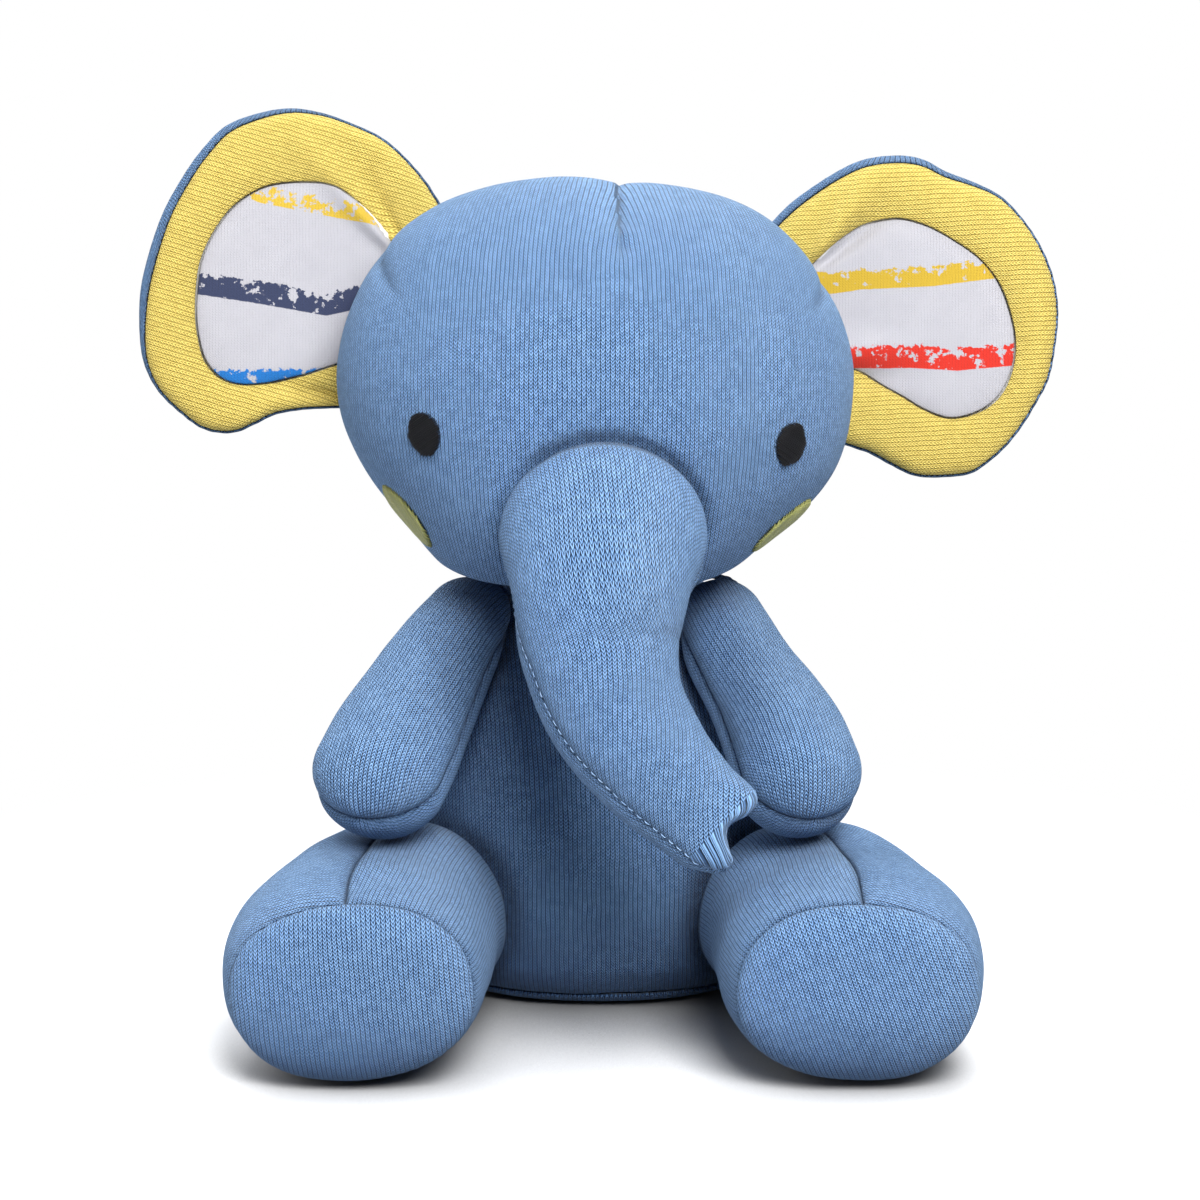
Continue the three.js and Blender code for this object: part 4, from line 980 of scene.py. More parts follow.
# ---- legs
def rest_flat(Q):
    """cloth settles flat on the floor"""
    Q = Q.copy()
    z = Q[..., 2]
    k = 1.6
    m = np.maximum(z, 0.05)
    Q[..., 2] = m + k * 0.25 * np.maximum(0, 1 - np.abs(z - 0.05) / k) ** 2
    return Q


def build_leg(side):
    spec = TUBES[side + "_leg"]
    nx = -1 if side == "right" else 1
    s_sole = 0.78 + 0.22 * math.asin(0.8 / 10.4) / (math.pi / 2)
    rows = tube_rows(spec, 0.05, s_sole, 0.35, 0.95, (False, True))
    x = np.clip((rows - 0.22) / 0.56, 0, 1) * spec["n"]
    c0 = spec["C"][np.minimum(x.astype(int), spec["n"])][:, None]
    outer = np.pi if nx < 0 else 0.0

    def extra(P, N):
        e, c = ditch_by(body_level(P) - 0.2, 1.9, 1.2)
        return e, c * 0.8

    for part, mid in (("outer", outer), ("inner", outer + np.pi)):
        q = spaced(80, 0.35, 0.95, (True, True))
        P = tube(spec, rows[:, None], (mid - np.pi / 2 + np.pi * q)[None])
        K = tube_knit(P, len(q) // 2)
        if part == "outer":
            K = np.stack([K[..., 1] + 0.12 * K[..., 0], K[..., 0]], -1)
        panel(f"{side}_leg_{part}_panel_cloth", P, np.broadcast_to(c0, P.shape), side + "_leg", [f"{side}_leg_{part}_panel"], K, seams=("j0", "j1", "i1"),
              extra=extra, after=rest_flat, seed=21 + nx, lump=0.6, knit_seed=20 + nx + mid, dip=dict(a1=0.9, a2=0.7, w2=3.6, pucker=0.34, pitch=3.0))
    # sole
    rows = tube_rows(spec, s_sole, 1.0, 0.35, 0.95, (True, False))
    phi = np.linspace(0, 2 * np.pi, 200, endpoint=False)
    P = tube(spec, rows[:, None], phi[None])
    c = spec["C"][-1] - spec["T"][-1] * 12
    q = P - spec["C"][-1]
    turn = math.radians(24 if side == "left" else 2)
    K = np.stack([q @ spec["U"][-1], q @ spec["W"][-1]], -1)
    K = np.stack([K[..., 0] * math.cos(turn) + K[..., 1] * math.sin(turn), K[..., 1] * math.cos(turn) - K[..., 0] * math.sin(turn)], -1)
    panel(f"{side}_sole_panel_cloth", P, np.broadcast_to(c, P.shape), side + "_leg", [f"{side}_sole_panel"], K, seams=("i0",), wrap=True,
          after=rest_flat, seed=21 + nx, lump=0.6, knit_seed=30 + nx, dip=dict(a1=0.9, a2=0.7, w2=3.6, pucker=0.34, pitch=3.0))


# ---- torso
def build_torso():
    def s_at(z):
        return 0.1 + 0.8 * np.interp(z, BODY_T[:, 0], _bt)

    s_base = s_at(2.9)
    sl = np.linspace(s_base, 0.985, 800)
    prof = body(sl, np.full_like(sl, -np.pi / 2))
    L = np.r_[0, np.cumsum(np.linalg.norm(np.diff(prof, axis=0), axis=1))]
    rows = np.interp(spaced(L[-1], 0.4, 1.1, (True, False)) * L[-1], L, sl)
    x = np.clip((rows - 0.1) / 0.8, 0, 1) * 400
    back = np.interp(x, np.arange(401), BODY_T[:, 4])
    k = np.where(rows > 0.9, (1 - rows) / 0.1, 1.0)
    g = np.arcsin(np.clip((3 / np.maximum(k * back, 4)) ** 1.1, 0, 0.5))
    c0 = np.stack([BODY_X + np.interp(x, np.arange(401), BODY_T[:, 1]), np.full_like(x, BODY_Y), BODY_Z + np.interp(x, np.arange(401), BODY_T[:, 0]) - 8 * (rows > 0.88)], -1)[:, None]

    def extra(P, N):
        h = np.zeros(P.shape[:2])
        crease_shade = np.zeros(P.shape[:2])
        for key, wd, dp in (("right_arm", 1.6, 0.9), ("left_arm", 1.6, 0.9), ("right_leg", 2.2, 1.3), ("left_leg", 2.2, 1.3), ("tail", 1.0, 0.7)):
            e, c = ditch_by(tube_level(P, TUBES[key]) if key[-3:] == "arm" or key[-3:] == "leg" else ball_level(P, TUBES[key]["pivot"], TUBES[key]["root"]), wd, dp)
            h += e
            crease_shade = np.maximum(crease_shade, c * 0.8)
        return h, crease_shade

    def grid(name, lo_, hi_, seams, width, seed):
        q = spaced(width, 0.4, 1.1, (True, True))
        Phi = lo_[:, None] + (hi_ - lo_)[:, None] * q[None]
        P = body(rows[:, None], Phi)
        K = tube_knit(P, len(q) // 2)
        panel(name + "_cloth", P, np.broadcast_to(c0, P.shape), "torso", [name], K, seams=seams, extra=extra, after=rest_flat, seed=31, lump=0.7, knit_seed=seed, dark=0.45)

    half = np.full_like(g, np.pi / 2)
    grid("torso_front_panel", -np.pi - g, g, ("j0", "j1", "i0"), 150, 41)
    grid("torso_back_right_panel", g, half, ("j0", "j1", "i0"), 75, 42)
    grid("torso_back_left_panel", half, np.pi - g, ("j0", "j1", "i0"), 75, 43)
    # base
    r = spaced(45, 0.4, 1.4, (False, True))
    s = s_base * r
    phi = np.linspace(0, 2 * np.pi, 220, endpoint=False)
    P = body(s[:, None], phi[None])
    K = P[..., :2].copy()
    panel("torso_base_panel_cloth", P, np.array([BODY_X, BODY_Y, BODY_Z + 30.0]), "torso", ["torso_base_panel"], K, seams=("i1",), wrap=True, after=rest_flat, seed=31, lump=0.0, knit_seed=44, dip=dict(a1=0.3, a2=0.2, pucker=0.1), dark=0.3)


# ---- tail
def build_tail():
    spec = TUBES["tail"]
    rows = tube_rows(spec, 0.06, 1.0, 0.5, 0.5, (False, False))
    phi = np.linspace(0, 2 * np.pi, 56, endpoint=False)
    P = tube(spec, rows[:, None], phi[None])
    x = np.clip((rows - 0.22) / 0.56, 0, 1) * spec["n"]
    c0 = spec["C"][np.minimum(x.astype(int), spec["n"])][:, None]
    K = tube_knit(P, 28)

    def extra(P, N):
        # a seam runs along the underside: the cloth sinks there, with painted shade in its crease
        under = np.abs((np.arange(56) - 42) / 56 * 27.0)[None]
        e, c = ditch_by(body_level(P), 1.2, 0.6)
        s = np.broadcast_to(-0.5 * np.exp(-under / 0.7), P.shape[:2])
        return e + s, np.maximum(c * 0.8, np.broadcast_to(np.exp(-under / 0.6), P.shape[:2]))

    panel("tail_cover_cloth", P, np.broadcast_to(c0, P.shape), "tail", ["tail_cover"], K, wrap=True, extra=extra, seed=51, lump=0.2, thick=0.8, knit_seed=51)


# ---- ears
EAR_RIGHT = [[-37.2, 45.8], [-40.7, 51.0], [-45.5, 56.5], [-51.4, 61.3], [-58.6, 64.6], [-65.7, 67.0], [-72.8, 67.9], [-81.2, 66.7], [-88.3, 63.7], [-93.5, 58.4], [-98.1, 51.8], [-102.6, 43.4], [-106.1, 33.9], [-108.3, 24.4], [-108.8, 14.9], [-107.6, 6.6], [-104.2, -0.1], [-99.0, -5.3], [-93.1, -9.1], [-85.9, -9.9], [-80.5, -7.7], [-76.4, -5.6], [-70.5, -4.4], [-62.1, -3.9], [-53, -3.5], [-45, -2], [-42, 12], [-36, 26], [-31, 36]]
EAR_LEFT = [[42.5, 41.5], [48.5, 47.0], [56.1, 52.2], [63.2, 55.3], [72.3, 56.3], [78.2, 55.3], [83.0, 52.9], [90.1, 50.1], [96.1, 47.0], [100.3, 43.0], [104.4, 37.5], [107.5, 31.5], [109.4, 25.6], [110.1, 19.6], [109.4, 11.3], [107.7, 3.0], [105.1, -2.2], [101.8, -7.7], [98.0, -12.5], [93.7, -16.5], [89.4, -19.4], [83.0, -20.3], [75.8, -19.8], [69.9, -17.2], [64.7, -14.4], [60.4, -12.9], [53, -10], [46, -6], [43, 8], [38, 24], [36, 34]]
INSET_RIGHT = [[-46.5, 33.5], [-49.2, 37.6], [-52.6, 42.2], [-58.6, 47.0], [-64.5, 49.1], [-72.8, 49.6], [-79.5, 48.2], [-85.9, 43.9], [-90.7, 37.5], [-93.5, 31.1], [-94.5, 24.4], [-94.7, 17.3], [-93.8, 11.3], [-92.4, 7.3], [-89.0, 3.5], [-84.7, 2.0], [-77.6, 2.3], [-70.5, 3.9], [-61.7, 6.8], [-51, 10], [-46, 20]]
INSET_LEFT = [[45, 24], [52.8, 31.1], [58.0, 35.8], [64.7, 39.9], [71.1, 41.1], [78.2, 39.4], [85.3, 35.6], [91.3, 31.1], [95.1, 26.1], [97.7, 19.6], [99.1, 12.5], [98.4, 5.4], [95.6, -0.6], [91.3, -4.1], [84.2, -6.0], [78.2, -4.1], [72.3, -0.6], [66.3, 3.0], [62.3, 4.9], [51, 8], [46, 15]]


def ear_offset(side):
    """how far the ear's frame node is from where this outline would put it"""
    lo_, hi_ = cad_box(f"{side}_ear_back_panel")
    pts = np.array(EAR_RIGHT if side == "right" else EAR_LEFT)
    far = lo_[0] if side == "right" else hi_[0]
    mine = HEADC[0] + (pts[:, 0].min() if side == "right" else pts[:, 0].max())
    up = hi_[2] - (HEADC + UP * pts[:, 1].max() + DEEP * 13)[2]
    return far - mine, 0.0


def ear_fold(side, u, v):
    """soft folds in the ear's cloth, running out from its root"""
    x = (-1 if side == "right" else 1) * u
    w = np.zeros_like(u)
    if side == "right":
        ang = np.arctan2(v - 24, x - 40)
        r = np.hypot(v - 24, x - 40)
        w += 1.5 * np.exp(-(((ang - 0.86) / 0.10) ** 2)) * smooth(60, 26, r) * smooth(8, 18, r)
        w += -1.1 * np.exp(-(((ang - 1.08) / 0.08) ** 2)) * smooth(50, 24, r) * smooth(8, 18, r)
        ang2 = np.arctan2(v + 2, x - 50)
        r2 = np.hypot(v + 2, x - 50)
        w += 1.6 * np.exp(-(((ang2 + 0.22) / 0.16) ** 2)) * smooth(44, 16, r2) * smooth(4, 12, r2)
        w += -1.5 * np.exp(-(((ang2 - 0.12) / 0.10) ** 2)) * smooth(34, 14, r2) * smooth(4, 12, r2)
    else:
        ang = np.arctan2(v - 22, x - 44)
        r = np.hypot(v - 22, x - 44)
        w += 1.4 * np.exp(-(((ang - 0.92) / 0.10) ** 2)) * smooth(50, 22, r) * smooth(8, 16, r)
        w += -1.1 * np.exp(-(((ang - 0.70) / 0.08) ** 2)) * smooth(40, 20, r) * smooth(8, 16, r)
        w += -1.3 * np.exp(-(((v - 2 - 0.1 * (x - 52)) / 3.0) ** 2)) * smooth(84, 56, x)
        w += 1.0 * np.exp(-(((v - 9 - 0.1 * (x - 52)) / 3.4) ** 2)) * smooth(84, 56, x)
    return -1.6 * w


def ear_bend(side, u, v):
    """how far the ear's middle surface comes forward, by place: cupped a little, and folded"""
    x = (-1 if side == "right" else 1) * u
    if side == "right":
        w = 2.0 * np.cos((v - 26) / 36 * 1.2) * smooth(52, 80, x) - 1.0
    else:
        w = 1.8 * np.cos((v - 17) / 36 * 1.2) * smooth(52, 80, x) - 1.0
    return ear_fold(side, u, v) - w


def build_ear(side):
    s = -1 if side == "right" else 1
    n = 380
    edge = closed_curve(EAR_RIGHT if side == "right" else EAR_LEFT, 1600)
    hole = closed_curve(INSET_RIGHT if side == "right" else INSET_LEFT, 1600)
    du, dv = ear_offset(side)
    edge, hole = edge + [du, dv], hole + [du, dv]
    c = hole.mean(0)
    # match the two outlines by direction from the middle of the inset
    ang = lambda p: np.unwrap(np.arctan2(p[:, 1] - c[1], p[:, 0] - c[0]))
    ae, ah = ang(edge), ang(hole)
    turn = np.linspace(0, 2 * np.pi, n, endpoint=False)

    def by_angle(p, a):
        o = np.argsort(np.mod(a, 2 * np.pi))
        am, pm = np.mod(a, 2 * np.pi)[o], p[o]
        am = np.r_[am[-3:] - 2 * np.pi, am, am[:3] + 2 * np.pi]
        pm = np.vstack([pm[-3:], pm, pm[:3]])
        am = np.maximum.accumulate(am)
        r = np.interp(turn, am, np.hypot(pm[:, 0] - c[0], pm[:, 1] - c[1]))
        return c + np.stack([np.cos(turn), np.sin(turn)], -1) * r[:, None]

    E, H = by_angle(edge, ae), by_angle(hole, ah)
    half = 3.3
    depth = HEAD["seam"] + 1

    def lift(p):
        return head_point(p[..., 0], p[..., 1], depth + ear_bend(side, p[..., 0], p[..., 1]))

    rE = np.linalg.norm(E - c, axis=1)
    rH = np.linalg.norm(H - c, axis=1)

    def side_h(r, R):
        """half thickness at radius r of an ear of radius R"""
        x = np.clip(1 - r / R, 0, 1) * R
        return half * np.clip(1 - np.clip(1 - x / 5.0, 0, 1) ** 2.4, 0, 1) ** 0.5

    fwd = -DEEP
    # inset: middle to its seam
    q = spaced(32, 0.35, 0.9, (False, True))
    r = q[:, None] * rH[None]
    p = c + np.stack([np.cos(turn), np.sin(turn)], -1)[None] * r[..., None]
    Pi = lift(p) + fwd * (side_h(r, rE[None]) - 0.25)[..., None]
    S = stripe_attr(side, p)
    K = np.stack([p[..., 0] * 1.0, p[..., 1]], -1)
    a = 0.0
    mat = PRINT_RIGHT if side == "right" else PRINT_LEFT
    refp = head_point(c[0], c[1], depth + 60)
    panel(f"{side}_ear_inset_panel_cloth", Pi, refp, f"{side}_ear", [f"{side}_ear_inset_panel"], K, seams=("i1",), wrap=True, mat=mat, thick=0.8,
          attrs={"stripes": S}, seed=61 + s, lump=0.35, dip=dict(a1=0.30, w1=0.5, a2=0.35, w2=2.5, pucker=0.10, pitch=2.6), knit_seed=61, dark=0.30)
    # border: inset seam to the outer seam, which lies on the front a little inside the edge
    lip = 1.9 if side == "right" else 1.5
    va = np.mod(turn - (math.radians(148) if side == "right" else math.radians(118)) + np.pi, 2 * np.pi) - np.pi
    lipw = 0.12 + lip * np.exp(-((va / 0.95) ** 4))
    q = spaced(16, 0.3, 0.85, (True, True))
    r0, r1 = rH, rE - lipw
    r = r0[None] + (r1 - r0)[None] * q[:, None]
    p = c + np.stack([np.cos(turn), np.sin(turn)], -1)[None] * r[..., None]
    puff = 1.0 * np.sin(np.pi * np.clip(q, 0, 1))[:, None] ** 0.6
    Pb = lift(p) + fwd * (side_h(r, rE[None]) + puff * 0.8 + 0.1)[..., None]
    ca, sa = (math.cos(math.radians(-17)), math.sin(math.radians(-17))) if side == "right" else (math.cos(math.radians(3)), math.sin(math.radians(3)))
    K = np.stack([-p[..., 0] * sa + p[..., 1] * ca, p[..., 0] * ca + p[..., 1] * sa], -1)
    panel(f"{side}_ear_border_panel_cloth", Pb, refp, f"{side}_ear", [f"{side}_ear_border_panel"], K, seams=("i0", "i1"), wrap=True, mat=YELLOW, thick=0.8,
          seed=61 + s, lump=0.5, dip=dict(a1=0.22, w1=0.35, a2=0.45, w2=2.6, pucker=0.26, pitch=3.4), knit_seed=62, dark=0.25)
    # back: from the outer seam over the edge to the middle of the back
    q1 = np.linspace(0, 1, 9)[:-1]
    rf = r1[None] + (rE - r1)[None] * np.sin(q1 * np.pi / 2)[:, None]
    q2 = 1 - spaced(40, 0.5, 1.2, (True, False))
    rb = rE[None] * q2[:, None]
    r = np.concatenate([rf, rb])
    sign = np.concatenate([np.ones(len(q1)), -np.ones(len(q2))])[:, None]
    p = c + np.stack([np.cos(turn), np.sin(turn)], -1)[None] * r[..., None]
    hh = side_h(r, rE[None])
    Pk = lift(p) + fwd * (sign * hh)[..., None]
    cc = lift(c + (p - c) * 0.93)
    K = np.stack([p[..., 0], p[..., 1]], -1)
    K[:len(q1), :, 1] += 0
    # near the rim the cloth runs over the edge, so carry the coordinates round it
    over = np.concatenate([np.cumsum(np.r_[0, np.full(len(q1) - 1, 0.5)]), np.full(len(q2), 4.0)])[:, None]
    K = K - np.stack([np.cos(turn), np.sin(turn)], -1)[None] * (over - 4.0)[..., None] * -1.6
    panel(f"{side}_ear_back_panel_cloth", Pk, cc, f"{side}_ear", [f"{side}_ear_back_panel"], K, seams=("i0",), wrap=True, thick=0.8,
          seed=61 + s, lump=0.45, mat=BLUE_BACK, dip=dict(a1=0.22, w1=0.35, a2=0.15, w2=1.5, pucker=0.15, pitch=3.4), knit_seed=63, dark=0.35)


def px_uv(x, y):
    return (np.asarray(x, float) - 600) / 4.2037 + 0.9, (600 - np.asarray(y, float)) / 4.2037 - 49.34


STRIPES = {
    "right": [([-83.2, -80, -65, -50, -44], [48.6, 47.1, 44.2, 41.3, 39.6], 2.2), ([-94, -78.8, -64, -58.8, -50], [25.8, 23.4, 20.8, 22.0, 24.5], 2.75), ([-96, -84, -70, -60], [2.4, 2.6, 2.9, 3.2], 2.6)],
    "left": [([50, 56, 63, 80, 94.6, 102], [26.4, 25.8, 26.8, 27.5, 29.4, 30.4], 2.5), ([52, 62, 74.4, 85.6, 98.4, 104], [8.1, 8.2, 8.4, 7.7, 8.9, 9.6], 2.75), ([0, 1], [500, 500], 1.0)],
}


def stripe_attr(side, p):
    out = []
    for us, vs, hw in STRIPES[side]:
        o = np.argsort(us)
        out.append((p[..., 1] - np.interp(p[..., 0], np.array(us)[o], np.array(vs)[o])) / hw)
    return np.stack(out, -1)


PRINT_RIGHT = print_mat("white_print_right", [(srgb(202, 170, 60), 0.10, 1.0), (srgb(54, 61, 88), 0.05, 2.0), (srgb(34, 112, 186), 0.02, 3.0)])
PRINT_LEFT = print_mat("white_print_left", [(srgb(192, 160, 52), 0.03, 4.0), (srgb(204, 50, 38), 0.05, 5.0), (srgb(220, 220, 226), 0.0, 6.0)])


# ---- threads
def strands(name, paths, radius, mat, body_name, nodes=(), sides=6, seg=7, caps=True):
    """many short threads in one mesh; each path is a (k,3) run of points"""
    V, F3, F4, K = [], [], [], []
    base = 0
    for idx, path in enumerate(paths):
        path = np.asarray(path, float)
        T = unit(np.gradient(path, axis=0))
        up = np.array([0.3, 0.2, 0.9])
        X = unit(np.cross(T, up))
        Y = np.cross(X, T)
        k = len(path)
        L = np.r_[0, np.cumsum(np.linalg.norm(np.diff(path, axis=0), axis=1))]
        rad = radius * np.sqrt(np.clip(1 - np.abs(np.linspace(-1, 1, k)) ** 6, 0.06, 1))
        a = np.arange(sides) * 2 * np.pi / sides
        ring = path[:, None] + (X[:, None] * np.cos(a)[None, :, None] + Y[:, None] * np.sin(a)[None, :, None]) * rad[:, None, None]
        V.append(ring.reshape(-1, 3))
        K.append(np.stack([np.broadcast_to(a, (k, sides)) * radius, np.broadcast_to(L[:, None], (k, sides)), np.full((k, sides), idx + 0.5)], -1).reshape(-1, 3))
        ids = base + np.arange(k * sides).reshape(k, sides)
        n = np.roll(ids, -1, axis=1)
        F4.append(np.stack([ids[:-1], n[:-1], n[1:], ids[1:]], -1).reshape(-1, 4))
        c0, c1 = base + k * sides, base + k * sides + 1
        V.append(np.array([path[0] - T[0] * radius * 0.4, path[-1] + T[-1] * radius * 0.4]))
        K.append(np.array([[0, 0, idx + 0.5], [0, L[-1], idx + 0.5]]))
        F3.append(np.stack([np.roll(ids[0], -1), ids[0], np.full(sides, c0)], -1))
        F3.append(np.stack([ids[-1], np.roll(ids[-1], -1), np.full(sides, c1)], -1))
        base += k * sides + 2
    F4 = np.concatenate(F4)[:, ::-1]
    F3 = np.concatenate(F3)[:, ::-1]
    ob = mesh_from(name, np.concatenate(V), F3, F4, {"knit": np.concatenate(K)})
    place(ob, body_name, mat, nodes)
    return ob


def satin(name, node, u, v, a, b, tilt, pitch, radius, mat, thread_angle, lift=0.35, seed=1):
    """an embroidered oval: a bed of padding stitches and a layer of satin stitches over it"""
    rng = np.random.default_rng(seed)
    paths = []
    ct, st = math.cos(tilt), math.sin(tilt)
    for layer, (ang, lf, pt) in enumerate(((thread_angle + 1.35, 0.0, pitch * 1.5), (thread_angle, lift, pitch))):
        dx, dy = math.cos(ang), math.sin(ang)
        reach = max(a, b) + 1
        for k in np.arange(-reach, reach, pt):
            k = k + rng.normal() * 0.03
            # chord of the oval along the thread's direction at offset k
            ox, oy = -dy * k, dx * k
            A = (dx / a) ** 2 + (dy / b) ** 2
            B = 2 * (ox * dx / a ** 2 + oy * dy / b ** 2)
            C = (ox / a) ** 2 + (oy / b) ** 2 - (1.0 if layer else 0.86)
            disc = B * B - 4 * A * C
            if disc <= 0.002:
                continue
            t0, t1 = (-B - math.sqrt(disc)) / (2 * A), (-B + math.sqrt(disc)) / (2 * A)
            t0 += rng.normal() * 0.10
            t1 += rng.normal() * 0.10
            if t1 - t0 < 0.6:
                continue
            m = int(max(5, (t1 - t0) / 0.7))
            t = np.linspace(t0, t1, m)
            x, y = ox + dx * t, oy + dy * t
            X, Y = u + x * ct - y * st, v + x * st + y * ct
            arch = 0.30 * (1 - np.linspace(-1, 1, m) ** 4) + lf + 0.1
            arch = arch - 0.35 * (np.abs(np.linspace(-1, 1, m)) > 0.99)
            paths.append((X, Y, arch + rng.normal() * 0.03))
    out = []
    for X, Y, L in paths:
        out.append(face_points(X, Y, L))
    return strands(name, out, radius, mat, "head", [node])


def face_points(X, Y, L):
    """points over the face at (u, v) measured on the cloth about a spot near the silhouette too"""
    return on_head_safe(X, Y, L)


def on_head_safe(X, Y, L):
    p = on_head(X, Y)
    nrm = head_normal(p)
    h = lumps(p[None], 0.6, 3)[0]
    return p + nrm * (L + h)[:, None]


def head_normal(p):
    e = 0.2
    g = np.stack([(head_level(p + e * ax) - head_level(p - e * ax)) for ax in np.eye(3)], -1)
    return unit(g)


def build_face():
    satin("right_eye_threads", "right_eye_embroidery", -38.8, -11.9, 3.75, 4.95, 0.22, 0.42, 0.27, BLACK, 0.35, seed=3)
    satin("left_eye_threads", "left_eye_embroidery", 44.1, -14.0, 3.5, 4.9, -0.24, 0.42, 0.27, BLACK, -0.35, seed=4)
    cheek("right_cheek_threads", "right_cheek_embroidery", -1, 5)
    cheek("left_cheek_threads", "left_cheek_embroidery", 1, 6)


def cheek(name, node, s, seed):
    """an oval of thread that wraps the edge of the face; laid out in directions from the head's centre"""
    th, w = (math.radians(-145.5), -14.0) if s < 0 else (math.radians(-36.8), -10.5)
    rho = (1 - (abs(w) / HEAD["front"]) ** HEAD["power"]) ** (1 / HEAD["power"]) * float(outline(np.array(th)))
    mid = head_point(rho * math.cos(th), rho * math.sin(th), w)
    d = unit(mid - HEADC)
    rv = unit(-math.sin(th) * RIGHT + math.cos(th) * UP)
    rv = unit(rv - rv.dot(d) * d)
    ru = np.cross(rv, d)
    rng = np.random.default_rng(seed)
    a, b = 6.2, 8.2
    paths = []
    ct, st = 1.0, 0.0
    for layer, (ang, lf, pt) in enumerate(((0.2, 0.0, 0.62), (1.25 * -s, 0.30, 0.42))):
        dx, dy = math.cos(ang), math.sin(ang)
        for k in np.arange(-9, 9, pt):
            k = k + rng.normal() * 0.03
            ox, oy = -dy * k, dx * k
            A = (dx / a) ** 2 + (dy / b) ** 2
            B = 2 * (ox * dx / a ** 2 + oy * dy / b ** 2)
            C = (ox / a) ** 2 + (oy / b) ** 2 - (1.0 if layer else 0.86)
            disc = B * B - 4 * A * C
            if disc <= 0.002:
                continue
            t0, t1 = (-B - math.sqrt(disc)) / (2 * A) + rng.normal() * 0.1, (-B + math.sqrt(disc)) / (2 * A) + rng.normal() * 0.1
            if t1 - t0 < 0.6:
                continue
            m = int(max(5, (t1 - t0) / 0.7))
            t = np.linspace(t0, t1, m)
            x, y = ox + dx * t, oy + dy * t
            X, Y = x * ct - y * st, x * st + y * ct
            q = HEADC + unit(d * 50 + ru * X[:, None] + rv * Y[:, None]) * 50
            for _ in range(4):
                q = q - unit(q - HEADC) * head_level(q)[:, None]
            nrm = head_normal(q)
            L = 0.28 * (1 - np.linspace(-1, 1, m) ** 4) + lf + 0.1 - 0.35 * (np.abs(np.linspace(-1, 1, m)) > 0.99) + lumps(q[None], 0.6, 3)[0]
            paths.append(q + nrm * L[:, None])
    strands(name, paths, 0.27, CHEEK, "head", [node])


# ---- stuffing and seam rings
def build_stuffing():
    pairs = [("torso_stuffing", "torso"), ("head_stuffing", "head"), ("trunk_stuffing", "trunk"), ("tail_stuffing", "tail")]
    for s in ("right", "left"):
        pairs += [(f"{s}_ear_wadding", f"{s}_ear"), (f"{s}_arm_stuffing", f"{s}_arm"), (f"{s}_leg_stuffing", f"{s}_leg")]
    dg = bpy.context.evaluated_depsgraph_get()
    for i, (node, body_name) in enumerate(pairs):
        src = frame["nodes"][node]
        ob = bpy.data.objects.new(node + "_fibre", src.data.copy())
        bpy.context.scene.collection.objects.link(ob)
        small = "tail" in node
        r = ob.modifiers.new("r", "REMESH")
        r.mode = "VOXEL"
        r.voxel_size = 0.0007 if small else 0.0012 if "wadding" in node else 0.0022
        bpy.context.view_layer.update()
        dg.update()
        me = bpy.data.meshes.new_from_object(ob.evaluated_get(bpy.context.evaluated_depsgraph_get()))
        ob.modifiers.clear()
        old = ob.data
        ob.data = me
        bpy.data.meshes.remove(old)
        n = len(me.vertices)
        co = np.empty(n * 3, np.float32)
        me.vertices.foreach_get("co", co)
        no = np.empty(n * 3, np.float32)
        me.vertices.foreach_get("normal", no)
        co, no = co.reshape(-1, 3).astype(float) * 1000, no.reshape(-1, 3).astype(float)
        a = 0.25 if small or "wadding" in node else 0.9
        h = -a * (0.75 + 0.5 * np.abs(noise(co, 7.0, i)) + 0.5 * noise(co, 3.2, i + 40))
        co = co + no * h[:, None]
        if node == "head_stuffing":
            # the filling follows the drawn-up chin, a little behind its cloth
            near = smooth(46, 30, np.hypot(co[:, 0] - JOINT["head_nod"][0], co[:, 1] - JOINT["head_nod"][1])) * smooth(120, 110, co[:, 2])
            co = chin_lift(co)
            co[:, 2] += 2.5 * near
        if "wadding" in node:
            u, v, _ = head_uvw(co)
            co = co + DEEP * ear_fold(node.split("_")[0], u, v)[:, None]
        me.vertices.foreach_set("co", (co * 0.001).astype(np.float32).ravel())
        me.polygons.foreach_set("use_smooth", np.ones(len(me.polygons), bool))
        me.update()
        place(ob, body_name, FILL, [node])


